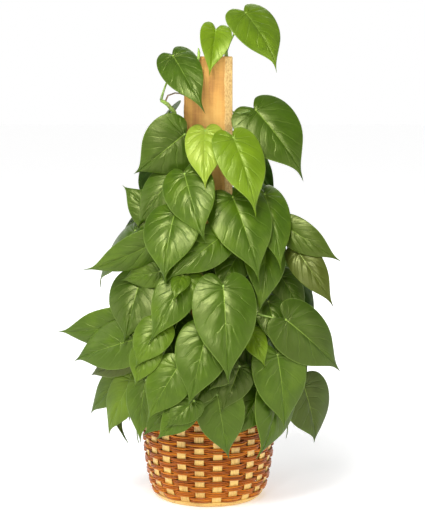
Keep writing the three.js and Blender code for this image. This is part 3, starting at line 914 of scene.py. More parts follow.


# Each leaf's tone picks its green on the leaf ramp and is set to how light or dark the leaf looks. It carries
# painted shade on leaves in shade, such as low_middle_2, left_hidden and right_top_dark, and a painted
# highlight on top_right.
FRONT_LEAVES = (
    Seen("inner_low_left", (172, 392), (164, 432), 0.050, 0.22, forward=DEEP),
    Seen("inner_low_right", (247, 386), (251, 430), 0.052, 0.22, forward=DEEP),
    Seen("inner_low", (211, 362), (214, 412), 0.056, 0.2, forward=DEEP),
    Seen("inner_left", (175, 316), (168, 372), 0.058, 0.2, forward=DEEP),
    Seen("inner_right", (248, 322), (246, 378), 0.058, 0.2, forward=DEEP),
    Seen("inner_far_left", (143, 306), (136, 352), 0.050, 0.2, forward=DEEP),
    Seen("inner_far_right", (288, 296), (294, 344), 0.050, 0.2, forward=DEEP),
    Seen("inner_middle", (214, 240), (212, 292), 0.056, 0.2, forward=DEEP),
    Seen("low_right_3", (258, 392), (276, 437), 0.046, 0.42),
    Seen("low_right_2", (262, 388), (231, 441), 0.048, 0.36),
    Seen("low_middle", (217, 393), (228, 460), 0.064, 0.34, forward=(-0.004, 0.008)),
    # Low tone: painted shade on a leaf in shade.
    Seen("low_middle_2", (240, 365), (221, 414), 0.048, 0.14),
    Seen("low_right_edge", (303, 383), (316, 444), 0.072, 0.13),
    Seen("low_right_gloss", (277, 352), (284.5, 430), 0.074, 0.36),
    Seen("right_inner", (280, 275), (305, 320), 0.044, 0.22),
    Seen("right_inner_2", (268, 300), (278, 354), 0.042, 0.32),
    Seen("small_folded", (250, 330), (266, 368), 0.032, 0.56),
    Seen("right_wide", (284, 318), (340.5, 371), 0.076, 0.21),
    Seen("under_hero_left", (207, 378), (192, 410), 0.040, 0.15),
    Seen("under_hero_right", (224, 364), (208, 392), 0.038, 0.15),
    Seen("low_left_edge", (130, 370), (88.5, 415), 0.046, 0.36),
    Seen("low_left_2", (133, 377), (107, 436), 0.048, 0.46),
    Seen("low_left_3", (146, 378), (139, 443), 0.048, 0.39),
    Seen("low_left_4", (175, 400), (143, 437), 0.040, 0.34),
    Seen("low_left_5", (190, 405), (156.5, 440), 0.040, 0.36),
    Seen("low_left_6", (195, 400), (166, 428), 0.038, 0.32),
    Seen("left_gloss", (179, 365), (147, 420), 0.058, 0.38),
    Seen("middle_left_low", (207, 330), (189.5, 406), 0.069, 0.34),
    # Low tone: painted shade on a leaf in shade.
    Seen("left_hidden", (135, 355), (88.5, 376.5), 0.038, 0.14, 0.35),
    Seen("left_edge_upper", (132, 325), (56.5, 332), 0.054, 0.36, roll=-20),
    Seen("left_edge_gloss", (136, 339), (73, 360), 0.064, 0.36),
    Seen("left_dark", (142, 276), (125, 345), 0.078, 0.24),
    Seen("left_inner", (150, 345), (134.5, 386), 0.042, 0.42),
    Seen("left_middle", (160, 324), (135, 368), 0.050, 0.42),
    Seen("left_small", (162, 271), (120, 280), 0.038, 0.4, roll=-12),
    Seen("middle_left", (187, 275), (150, 344), 0.056, 0.38),
    Seen("middle_left_bud", (183, 275), (174, 300), 0.024, 0.4),
    Seen("behind_hero", (240, 250), (215, 295), 0.050, 0.24),
    Seen("hero", (223, 283), (228, 384), 0.082, 0.32),
    Seen("middle_right", (265, 232), (260, 316), 0.061, 0.38),
    Seen("right_olive_2", (297, 250), (334, 306), 0.044, 0.2, 0.7, roll=25),
    Seen("right_olive", (283, 225), (341, 261.5), 0.042, 0.25, 0.22, roll=25),
    Seen("right_upper", (264, 192), (281, 271), 0.058, 0.4),
    Seen("middle_slant", (222, 236), (166, 280), 0.054, 0.34),
    Seen("left_long", (160, 240), (84, 272), 0.046, 0.36, roll=-35),
    Seen("left_upturned", (160, 222), (121.5, 184), 0.048, 0.34, roll=20),
    Seen("left_upper_2", (175, 175), (136, 228), 0.056, 0.32),
    Seen("middle_gloss", (175, 211), (163, 282), 0.074, 0.36),
    Seen("left_upper", (186, 133), (134, 175), 0.078, 0.25, roll=-25),
    Seen("right_gloss", (232, 195), (260, 281), 0.083, 0.36),
    Seen("bright_middle", (184, 172), (204.5, 242), 0.068, 0.37),
    Seen("pale_young", (205, 129), (204.5, 190), 0.052, 0.82),
    # Low tone: painted shade on a leaf that faces away from the light.
    Seen("right_top_dark", (254, 108), (305, 178), 0.086, 0.27, roll=10),
    Seen("bright_right", (232.5, 135.5), (257, 215), 0.066, 0.58),
    Seen("top_left", (172, 54), (204, 112), 0.054, 0.32, roll=-24),
    Seen("top_middle", (216, 29), (208.5, 76), 0.042, 0.62, fold=0.5),
    # Raised tone: a painted highlight across the blade.
    Seen("top_right", (244.5, 11), (279, 70), 0.072, 0.48),
)


@dataclass(frozen=True)
class SideLeaves:
    """Leaves of the sides and back: they climb round the post, each a golden turn from the last."""

    count: int = 46
    lowest: float = 0.172
    highest: float = 0.520
    thinning: float = 0.75
    sweep: Spot = (52, 308)
    length: float = 0.106
    length_spread: float = 0.015
    slender: float = 0.66
    lean_spread: float = 34
    roll_spread: float = 16
    flare: float = 0.009
    inset: float = 0.008
    tone_spread: float = 0.09

    def leaf(self, index: int) -> Leaf:
        """One of these leaves before it is laid outwards.

        Args:
            index: Its place in the climb, from 0.

        Returns:
            The leaf.
        """
        climbed = (index / (self.count - 1)) ** (1 / self.thinning)
        height = self.lowest + (self.highest - self.lowest) * climbed
        azimuth = self.sweep[0] + (self.sweep[1] - self.sweep[0]) * fraction(index * GOLDEN)
        length = self.length + self.length_spread * spread(index, 1)
        radius = SURFACE.radius(height) - self.inset
        lean = math.radians(self.lean_spread * spread(index, 2))
        flare = math.atan2(SURFACE.radius(height - length) - radius + self.flare, length)
        away = outward(azimuth)
        heel = away * radius + UP * height
        tip = heel + away * (length * math.sin(flare))
        tip = tip + outward(azimuth + 90) * (length * math.cos(flare) * math.sin(lean))
        tip = tip - UP * (length * math.cos(flare) * math.cos(lean))
        roll = self.roll_spread * spread(index, 3)
        tone = PLAIN_TONE + self.tone_spread * spread(index, 6)
        facing = away + FACING_UP
        width = self.slender * length
        return Leaf(f"back_{index}", heel, tip, facing, away, width, roll, tone=tone)


@dataclass(frozen=True)
class FillingLeaves:
    """Smaller leaves between the front and the sides, in rings round the post, right and left in turn."""

    count: int = 52
    lowest: float = 0.150
    highest: float = 0.370
    turn: Spot = (28, 88)
    rings: Triple = (0.050, 0.088, 0.070)
    aside: float = 24
    length: float = 0.084
    width: float = 0.056
    flare: float = math.radians(15)
    roll_spread: float = 16
    tone: float = 0.26
    tone_spread: float = 0.06

    def leaf(self, index: int) -> Leaf:
        """One of these leaves before it is laid outwards.

        Args:
            index: Its place in the climb, from 0.

        Returns:
            The leaf.
        """
        height = self.lowest + (self.highest - self.lowest) * (index / (self.count - 1))
        turn = self.turn[0] + (self.turn[1] - self.turn[0]) * fraction(index * GOLDEN)
        side = 1 if index % 2 else -1
        away = outward(side * turn)
        heel = away * self.rings[(index >> 1) % len(self.rings)] + UP * height
        tip = heel + away * (self.length * math.sin(self.flare)) - UP * (self.length * math.cos(self.flare))
        facing = outward(side * (turn + self.aside)) + FACING_UP
        roll = self.roll_spread * spread(index, 4)
        tone = self.tone + self.tone_spread * spread(index, 6)
        return Leaf(f"inner_{index}", heel, tip, facing, away, self.width, roll, tone=tone)


def all_leaves() -> list[Leaf]:
    """Every leaf that the photograph and the climbing rules give.

    Returns:
        The leaves, before they are laid outwards.
    """
    leaves = [row.leaf() for row in FRONT_LEAVES]
    for rule in (SideLeaves(), FillingLeaves()):
        leaves += [rule.leaf(index) for index in range(rule.count)]
    return leaves


@dataclass
class Traces:
    """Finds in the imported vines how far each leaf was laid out, and the stalk that holds it."""

    step: float = 0.0015
    most: float = 0.066
    near: float = 0.00003
    probe_spots: tuple = ((0, 1, 0.5), (0, 1, -0.5), (0.48, 0.86, 0.5), (0.48, -0.86, 0.5))
    stalk_radius: float = 0.0015
    heel_share: float = 0.03
    behind: Spot = (0.07, -0.024)
    leaving: Spot = (0.35, 0.1)
    drops: tuple = (0.024, 0.040, 0.010, 0.056, 0.072, -0.006, 0.090, -0.022, -0.038, 0.110, 0.135, 0.160)
    bows: tuple = (0.0, 0.012, -0.012, 0.024, -0.024, 0.040, -0.040, 0.056, -0.056, 0.072, -0.072)
    lowest_start: float = 0.122
    sure: int = 3
    trees: dict = field(default_factory=dict)

    def __post_init__(self) -> None:
        """Takes in the points of each packed vine."""
        for vine in VINES:
            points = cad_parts[vine.name].data.vertices
            tree = kdtree.KDTree(len(points))
            for point in points:
                tree.insert(point.co, point.index)
            tree.balance()
            self.trees[vine.name] = tree

    def laid(self, leaf: Leaf) -> tuple[Vine, float] | None:
        """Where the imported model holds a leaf.

        Args:
            leaf: The leaf before it is laid outwards.

        Returns:
            Its vine and how far it was laid out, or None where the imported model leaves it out.
        """
        probes = [leaf.point(0, u, v, side * BLADE_THICKNESS) for u, v, side in self.probe_spots]
        best = None
        best_count = 1
        for pushed in (step * self.step for step in range(round(self.most / self.step) + 1)):
            for vine in VINES:
                tree = self.trees[vine.name]
                count = sum(tree.find(probe + leaf.push * pushed)[2] < self.near for probe in probes)
                if count > best_count:
                    best = (vine, pushed)
                    best_count = count
        return best

    def stalk(self, leaf: Leaf, pushed: float, vine: Vine) -> Bend:
        """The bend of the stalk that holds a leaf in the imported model.

        Args:
            leaf: The leaf.
            pushed: How far it was laid out.
            vine: The vine that it hangs on.

        Returns:
            The four points of the stalk's curve.
        """
        heel = leaf.point(pushed, self.heel_share, 0, 0)
        behind = leaf.point(pushed, self.behind[0], 0, self.behind[1])
        onward, upward = self.leaving
        best = None
        best_count = 0
        for drop in self.drops:
            start = vine.stem_point(max(self.lowest_start, heel.z - drop))
            run = heel - start
            leaving = start + run * onward + UP * (upward * run.length)
            aside = run.cross(UP).normalized()
            for bow in self.bows:
                bend = (start, leaving + aside * bow, behind, heel)
                ring = self.trees[vine.name].find_range(middle_of(bend), self.stalk_radius + self.near)
                count = sum(found[2] > self.stalk_radius - self.near for found in ring)
                if best is None or count > best_count:
                    best = bend
                    best_count = count
            if best_count >= self.sure:
                return best
        LOG.info("%s: its stalk isn't clear in %s", leaf.name, vine.name)
        return best


def bend_points(bend: Bend, shares: np.ndarray) -> np.ndarray:
    """Points along a stalk's curve.

    Args:
        bend: The four points that a cubic curve is drawn from.
        shares: Where its points are wanted, from 0 to 1.

    Returns:
        The points.
    """
    a, b, c, d = (np.array(point) for point in bend)
    t = shares[:, None]
    return (1 - t) ** 3 * a + 3 * (1 - t) ** 2 * t * b + 3 * (1 - t) * t * t * c + t**3 * d


def middle_of(bend: Bend) -> Vector:
    """The point half way along a bend by its length.

    Args:
        bend: The four points of its curve.

    Returns:
        The point.
    """
    shares = np.linspace(0, 1, 201)
    steps = np.linalg.norm(np.diff(bend_points(bend, shares), axis=0), axis=1)
    lengths = np.concatenate(([0.0], np.cumsum(steps)))
    share = np.interp(lengths[-1] / 2, lengths, shares)
    return Vector(bend_points(bend, np.array([share]))[0])


@dataclass
class Blade:
    """A fine heart-shaped blade: one pattern of points and faces that every leaf is shaped from."""

    outline: tuple = (
        (0, 0), (-0.05, 0.09), (-0.105, 0.28), (-0.10, 0.52), (-0.035, 0.78), (0.075, 0.94), (0.20, 1.0),
        (0.33, 0.975), (0.46, 0.88), (0.575, 0.715), (0.67, 0.51), (0.755, 0.31), (0.825, 0.16),
        (0.885, 0.07), (0.945, 0.025), (1.0, 0.0),
    )
    between_points: int = 3
    across_steps: tuple = (0.0, 0.035, 0.11, 0.24, 0.40, 0.57, 0.74, 0.88, 0.965, 1.0)
    lobe_share: float = 0.44
    lobe_foot: float = 0.06
    foot_spacing: float = 1.2
    fan: float = 1.45
    thickness: float = 0.0006
    edge_thinning: float = 0.45
    groove: float = 0.0009
    groove_width: float = 0.0028
    groove_taper: float = 5
    rib: float = 0.0012
    rib_width: float = 0.0016
    rib_taper: float = 2.2
    rib_least: float = 0.12
    pillow: float = 0.038
    ripple: float = 0.00055
    ripple_rise: float = 8
    ripple_fall: float = 0.8
    wave: float = 0.0008
    waves: float = 2.2
    waves_spread: float = 0.5
    wave_lag: float = 1.7
    roll_down: float = 0.0008
    curl_from: float = 0.74
    curl: float = 0.036
    curl_spread: float = 0.024
    sway_from: float = 0.72
    sway: float = 0.025

    def __post_init__(self) -> None:
        """Works out the shared pattern."""
        margin = self.smooth_margin()
        rows = len(margin)
        share = np.linspace(0, 1, rows)
        past = np.maximum(share - self.lobe_share, 0) / (1 - self.lobe_share)
        foot = self.lobe_foot * np.minimum(share / self.lobe_share, 1)
        foot = foot + (1 - self.lobe_foot) * past**self.foot_spacing
        points: list[tuple[float, float, float, float]] = []
        number: dict[tuple[int, int, int], int] = {}
        for i in range(rows):
            number[0, i, 0] = number[1, i, 0] = number[-1, i, 0] = len(points)
            points.append((foot[i], 0.0, share[i], 0.0))
        for side in (1, -1):
            for i in range(rows):
                for j, w in enumerate(self.across_steps[1:], 1):
                    number[side, i, j] = number[side, i, 0]
                    if 0 < i < rows - 1:
                        number[side, i, j] = len(points)
                        u = foot[i] + (margin[i][0] - foot[i]) * w**self.fan
                        points.append((u, side * margin[i][1] * w, share[i], w))
        last = len(self.across_steps) - 1
        self.flat = np.array(points)
        self.top: list[tuple[int, ...]] = []
        for side in (1, -1):
            for i in range(rows - 1):
                for j in range(last):
                    corners = ((i, j), (i, j + 1), (i + 1, j + 1), (i + 1, j))[::side]
                    ring = tuple(dict.fromkeys(number[side, *corner] for corner in corners))
                    if len(ring) > 2:
                        self.top.append(ring)
        count = len(points)
        self.under = [tuple(i + count for i in reversed(ring)) for ring in self.top]
        rim = [number[1, i, last] for i in range(rows)]
        rim += [number[-1, i, last] for i in range(rows - 2, 0, -1)]
        self.edge = [(b, a, a + count, b + count) for a, b in zip(rim, rim[1:] + rim[:1])]

    def smooth_margin(self) -> list[Spot]:
        """Half of the outline as a smooth line from the notch to the drip tip.

        Returns:
            The line's points.
        """
        given = [Vector(point) for point in self.outline]
        line: list[Spot] = []
        for i in range(len(given) - 1):
            a, b = given[i], given[i + 1]
            pull_a = (b - given[max(i - 1, 0)]) * 0.5
            pull_b = (given[min(i + 2, len(given) - 1)] - a) * 0.5
            for t in (k / self.between_points for k in range(self.between_points)):
                point = a * (2 * t**3 - 3 * t**2 + 1) + pull_a * (t**3 - 2 * t**2 + t)
                point += b * (3 * t**2 - 2 * t**3) + pull_b * (t**3 - t**2)
                line.append((point.x, max(point.y, 0.0)))
        return [*line, tuple(given[-1])]

    def shape(self, leaf: Leaf, pushed: float, seed: int) -> np.ndarray:
        """Points of both faces of one leaf.

        Args:
            leaf: The leaf.
            pushed: How far it was laid out.
            seed: Its own number, which varies its waves.

        Returns:
            The upper face's points, then the under face's.
        """
        axis, across, normal, length = leaf.basis()
        half = leaf.width / 2
        u, v, s, w = self.flat.T
        off = np.abs(v) * half
        ends = np.clip(np.sin(np.pi * s), 0, 1) ** 0.5
        creased = np.clip(w * self.ripple_rise, 0, 1) * (1 - w) ** self.ripple_fall
        phase = FULL_TURN * fraction(seed * (1 - GOLDEN)) + np.where(v < 0, self.wave_lag, 0.0)
        waves = self.waves + self.waves_spread * spread(seed, 7)
        curl = length * (self.curl + self.curl_spread * spread(seed, 10))
        height = 4 * BLADE_BOW * length * u * (1 - u) + leaf.fold * off
        grooved = np.clip((1 - u) * self.groove_taper, 0, 1)
        height = height - self.groove * bell(off, self.groove_width) * grooved
        height = height + self.pillow * half * np.sin(np.pi * w) * ends
        height = height - self.ripple * np.cos(FULL_TURN * VEINS * s) * creased * ends
        height = height + self.wave * w**3 * np.sin(FULL_TURN * waves * s + phase) * ends
        height = height - self.roll_down * w**6 * ends
        height = height - curl * np.clip((u - self.curl_from) / (1 - self.curl_from), 0, 1) ** 2
        past = np.clip((u - self.sway_from) / (1 - self.sway_from), 0, 1)
        sway = self.sway * length * spread(seed, 8) * past**2
        middle = np.array(leaf.heel + leaf.push * pushed)
        middle = middle + np.outer(u * length, axis) + np.outer(v * half + sway, across)
        thick = self.thickness * (1 - self.edge_thinning * w**4)
        rib = self.rib * bell(off, self.rib_width) * np.clip((1 - u) * self.rib_taper, self.rib_least, 1)
        upper = middle + np.outer(height + thick / 2, normal)
        under = middle + np.outer(height - thick / 2 - rib, normal)
        return np.concatenate((upper, under))

    def piece(self, name: str, leaves: Sequence[tuple[Leaf, float, int]]) -> bpy.types.Object:
        """Blades of several leaves as one object.

        Args:
            name: The piece's name.
            leaves: The leaves, how far each was laid out, and its number.

        Returns:
            The piece, with what its finish reads at each point.
        """
        count = 2 * len(self.flat)
        ring = self.top + self.under + self.edge
        points = np.concatenate([self.shape(*entry) for entry in leaves])
        firsts = range(0, count * len(leaves), count)
        mesh = mesh_of(name, points, [tuple(i + first for i in face) for first in firsts for face in ring])
        for column, label in ((2, "along"), (3, "across")):
            store(mesh, label, np.tile(self.flat[:, column], 2 * len(leaves)))
        for label in ("tone", "olive"):
            store(mesh, label, np.repeat([getattr(leaf, label) for leaf, _, _ in leaves], count))
        slots = [0] * len(self.top) + [1] * len(self.under) + [0] * len(self.edge)
        mesh.polygons.foreach_set("material_index", slots * len(leaves))
        mesh.polygons.foreach_set("use_smooth", [True] * len(mesh.polygons))
        return put(name, mesh, LEAF_FACE, LEAF_BACK)


def sweep_recipe() -> Recipe:
    """Recipe that sweeps a round section along each line of a mesh, as thick as its points say.

    Returns:
        The recipe.
    """
    recipe = Recipe("round_sweep", ["sides"])
    graph, given = recipe.graph, recipe.given
    thick = graph.get("GeometryNodeInputNamedAttribute", {0: "thick"}, out="Attribute", data_type="FLOAT")
    curve = graph.get("GeometryNodeMeshToCurve", {"Mesh": given["Geometry"]})
    sized = graph.get("GeometryNodeSetCurveRadius", {"Curve": curve, "Radius": thick})
    section = graph.get("GeometryNodeCurvePrimitiveCircle", {"Resolution": given["sides"], "Radius": 1.0})
    inputs = {"Curve": sized, "Profile Curve": section, "Fill Caps": True}
    sweep = graph.add("GeometryNodeCurveToMesh", inputs)
    if "Scale" in sweep.inputs:
        graph.feed(sweep.inputs["Scale"], graph.get("GeometryNodeInputRadius"))
    recipe.close(Signal(graph, sweep.outputs[0]))
    return recipe


@dataclass(frozen=True)
class Sprig:
    """A short root, stalk or sheath of the photograph: its picture points, their depths and its radii."""

    vine: str
    age: float
    spots: tuple[tuple[tuple[float, float], float], ...]
    thick: tuple[float, ...]


SPRIGS = (
    Sprig(
        "vine_left", 0.95,
        (((165.5, 101), 0.020), ((168, 95.5), 0.022), ((175, 93), 0.020), ((180, 93.5), 0.017),
         ((186, 96), 0.012)),
        (0.0012, 0.0011, 0.0010, 0.0009, 0.0006),
    ),
    Sprig(
        "vine_right", 0.5,
        (((231.5, 111), 0.006), ((235, 113), 0.008), ((241, 113.5), 0.012), ((250, 111), 0.020)),
        (0.0012, 0.0011, 0.0011, 0.0011),
    ),
    Sprig(
        "vine_left", 0.0,
        (((198.5, 60), 0.0195), ((199, 53), 0.020), ((198.5, 48), 0.020)),
        (0.0016, 0.0021, 0.0007),
    ),
)


@dataclass
class Lines:
    """Lines to sweep a round section along, with how thick and how old each point is."""

    points: list = field(default_factory=list)
    edges: list = field(default_factory=list)
    thick: list = field(default_factory=list)
    age: list = field(default_factory=list)

    def add(self, path: Sequence, thick: Sequence[float], age: Sequence[float], closed: bool = False) -> None:
        """Adds a line.

        Args:
            path: Its points.
            thick: Radius at each point.
            age: Age at each point, from 0, young, to 1, brown.
            closed: Whether its last point joins its first.
        """
        first = len(self.points)
        self.points += path
        last = len(self.points) - 1
        self.edges += [(i, i + 1) for i in range(first, last)] + ([(last, first)] if closed else [])
        self.thick += list(thick)
        self.age += list(age)

    def mesh(self, name: str) -> bpy.types.Mesh:
        """The lines as a mesh of edges.

        Args:
            name: The mesh's name.

        Returns:
            The mesh, with the radius and age of each point.
        """
        mesh = mesh_of(name, self.points, [], self.edges)
        store(mesh, "thick", self.thick)
        store(mesh, "age", self.age)
        return mesh


@dataclass
class Foliage:
    """The vines: stems with their joints and roots, stalks and fine leaves."""

    blade: Blade = field(default_factory=Blade)
    sweep: Recipe = field(default_factory=sweep_recipe)
    sides: int = 7
    stem_step: float = 0.006
    joint_gap: float = 0.034
    joint_share: float = 1 / 9
    joint_swell: Spot = (0.92, 0.3)
    stem_age: Triple = (0.62, -0.5, 0.35)
    root_thick: Triple = (0.0011, 0.0008, 0.0005)
    root_age: Triple = (0.9, 0.95, 1.0)
    root_reach: Triple = (0.004, 0.004, -0.002)
    root_end: Triple = (0.007, 0.009, -0.006)
    stalk_steps: int = 12
    stalk_radius: float = 0.0013
    stalk_flares: Spot = (0.0008, 0.0002)
    stalk_age: Triple = (0.30, 0.2, -0.22)
    sheath_share: float = 0.12
    aged_share: float = 0.15
    clear_step: float = 0.0006
    clear_steps: int = 8

    def stem(self, vine: Vine, lines: Lines) -> None:
        """Adds a vine's stem, thicker at its joints, with short clinging roots.

        Args:
            vine: The vine.
            lines: Its lines, which the stem and roots are added to.
        """
        heights = np.arange(vine.base, vine.top, self.stem_step)
        path = [vine.stem_point(float(height)) for height in heights] + [vine.stem_point(vine.top)]
        path += [Vector(point) for point in vine.end]
        joints = np.arange(len(path)) * self.stem_step / self.joint_gap
        swell = bell(joints % 1 - 0.5, self.joint_share)
        old, younger, at_joints = self.stem_age
        age = np.minimum(1.0, old + younger * np.arange(len(path)) / len(path) + at_joints * swell)
        lines.add(path, vine.radius * (self.joint_swell[0] + self.joint_swell[1] * swell), age)
        for k in range(2, int((vine.top - vine.base) / self.joint_gap)):
            start = vine.stem_point(vine.base + (k + 0.5) * self.joint_gap)
            inward = Vector((-start.x, -start.y, 0)).normalized()
            ways = (inward, inward.cross(UP) * spread(k, 9), UP)
            bent, end = (
                start + sum((way * far for way, far in zip(ways, reach)), Vector())
                for reach in (self.root_reach, self.root_end)
            )
            lines.add([start, bent, end], self.root_thick, self.root_age)

    def stalk(self, bend: Bend, lines: Lines) -> None:
        """Adds a stalk, sheathed where it leaves the stem.

        Args:
            bend: The four points of its curve.
            lines: The vine's lines, which it is added to.
        """
        share = np.linspace(0, 1, self.stalk_steps + 1)
        sheath, heel = self.stalk_flares
        old, at_stem, at_leaf = self.stalk_age
        thick = self.stalk_radius + sheath * bell(share, self.sheath_share) + heel * share
        age = old + at_stem * bell(share, self.aged_share) + at_leaf * share
        lines.add(list(bend_points(bend, share)), thick, age)

    def clear_of(self, leaf: Leaf, pushed: float, number: int, laid: list) -> float:
        """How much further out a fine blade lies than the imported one, to be clear of those laid before it.

        Args:
            leaf: The leaf.
            pushed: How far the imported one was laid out.
            number: Its own number.
            laid: Trees and corners of the blades laid so far; this blade's are added.

        Returns:
            The extra distance, with which it crosses the fewest.
        """
        tried = []
        for extra in (step * self.clear_step for step in range(self.clear_steps)):
            points = self.blade.shape(leaf, pushed + extra, number)
            low, high = points.min(axis=0), points.max(axis=0)
            tree = BVHTree.FromPolygons(points.tolist(), self.blade.top + self.blade.under)
            near = [other for other, floor, ceiling in laid if (floor < high).all() and (low < ceiling).all()]
            tried.append((sum(len(tree.overlap(other)) for other in near), extra, (tree, low, high)))
            if tried[-1][0] == 0:
                break
        best = min(tried, key=lambda entry: entry[0])
        laid.append(best[2])
        return best[1]

    def build(self) -> None:
        """Makes one piece for each packed vine."""
        traces = Traces()
        laid: list = []
        leaves: dict[str, list[tuple[Leaf, float, int]]] = {vine.name: [] for vine in VINES}
        lines = {vine.name: Lines() for vine in VINES}
        for vine in VINES:
            self.stem(vine, lines[vine.name])
        for number, leaf in enumerate(all_leaves()):
            found = traces.laid(leaf)
            if found is None:
                LOG.info("%s: not in the packed model", leaf.name)
                continue
            vine, pushed = found
            start, leaving, behind, heel = traces.stalk(leaf, pushed, vine)
            extra = self.clear_of(leaf, pushed, number, laid)
            leaves[vine.name].append((leaf, pushed + extra, number))
            moved = leaf.push * extra
            self.stalk((start, leaving, behind + moved, heel + moved), lines[vine.name])
        for sprig in SPRIGS:
            path = [EYE.placed(*spot) for spot in sprig.spots]
            lines[sprig.vine].add(path, sprig.thick, [sprig.age] * len(path))
        for vine in VINES:
            name = f"{vine.name}_stem"
            stem = self.sweep.bake(name, lines[vine.name].mesh(name), STEM_SKIN, sides=self.sides)
            blades = self.blade.piece(f"leafy_{vine.name}", leaves[vine.name])
            settle(joined(f"leafy_{vine.name}", [blades, stem]), "foliage", vine.name)


def weave_recipe(profile: Sequence[Spot]) -> Recipe:
    """Recipe of the woven wall: strands of cane in rows, in front of one stake and behind the next.

    Args:
        profile: Height and radius of the wall, by rising height.

    Returns:
        The recipe.
    """
    counts = ("rows", "strands", "stakes", "steps", "sides", "seed")
    numbers = ("bottom", "pitch", "inset", "swing", "squareness", "slip", "slips_round", "cane_radius")
    recipe = Recipe("woven_wall", counts, numbers)
    graph, given = recipe.graph, recipe.given
    circle = graph.get("GeometryNodeCurvePrimitiveCircle", {"Resolution": given["steps"], "Radius": 1.0})
    inputs = {0: circle, "Amount": given["rows"] * given["strands"]}
    copies = graph.add("GeometryNodeDuplicateElements", inputs, domain="SPLINE")
    number = Signal(graph, copies.outputs["Duplicate Index"])
    row = ((number + 0.5) / given["strands"]).math("FLOOR")
    strand = number - row * given["strands"]
    level = (row + (strand + 0.5) / given["strands"]) * given["pitch"] + given["bottom"]
    place = graph.add("ShaderNodeSeparateXYZ", {0: graph.get("GeometryNodeInputPosition")})
    x, y, _ = (Signal(graph, socket) for socket in place.outputs)
    turn = y.math("ARCTAN2", x)
    height = profile[-1][0]
    widest = max(radius for _, radius in profile)
    curve = graph.add("ShaderNodeFloatCurve", {"Value": level / height})
    line = curve.mapping.curves[0]
    line.points[0].location = (0, profile[0][1] / widest)
    line.points[-1].location = (1, profile[-1][1] / widest)
    for at, radius in profile[1:-1]:
        line.points.new(at / height, radius / widest)
    curve.mapping.update()
    angle = turn * (given["stakes"] * 0.5) + row * math.pi
    wave = (angle.math("COSINE") * given["squareness"]).math("TANH") * given["swing"]
    away = Signal(graph, curve.outputs[0]) * widest - given["inset"] + wave
    strands_apart = 7.31
    inputs = {"W": number * strands_apart + given["seed"], "Scale": given["slips_round"], "Detail": 1.0}
    slip = (graph.get("ShaderNodeTexNoise", inputs, noise_dimensions="4D") - 0.5) * given["slip"]
    spots = {0: turn.math("COSINE") * away, 1: turn.math("SINE") * away, 2: level + slip}
    target = graph.get("ShaderNodeCombineXYZ", spots)
    inputs = {"Geometry": Signal(graph, copies.outputs[0]), "Position": target}
    moved = graph.get("GeometryNodeSetPosition", inputs)
    inputs = {"ID": number, "Seed": given["seed"]}
    tint = graph.get("FunctionNodeRandomValue", inputs, out=1, data_type="FLOAT")
    inputs = {"Geometry": moved, "Name": "strand", "Value": tint}
    tinted = graph.get("GeometryNodeStoreNamedAttribute", inputs, data_type="FLOAT", domain="POINT")
    inputs = {"Resolution": given["sides"], "Radius": given["cane_radius"]}
    section = graph.get("GeometryNodeCurvePrimitiveCircle", inputs)
    recipe.close(graph.get("GeometryNodeCurveToMesh", {"Curve": tinted, "Profile Curve": section}))
    return recipe


def ring_recipe() -> Recipe:
    """Recipe that repeats a mesh round the Z axis.

    Returns:
        The recipe.
    """
    recipe = Recipe("repeat_round_axis", ["count"])
    graph, given = recipe.graph, recipe.given
    points = graph.get("GeometryNodePoints", {"Count": given["count"]})
    turn = graph.get("GeometryNodeInputIndex") * FULL_TURN / given["count"]
    rotation = graph.get("ShaderNodeCombineXYZ", {2: turn})
    inputs = {"Points": points, "Instance": given["Geometry"], "Rotation": rotation}
    recipe.close(graph.get("GeometryNodeInstanceOnPoints", inputs))
    return recipe


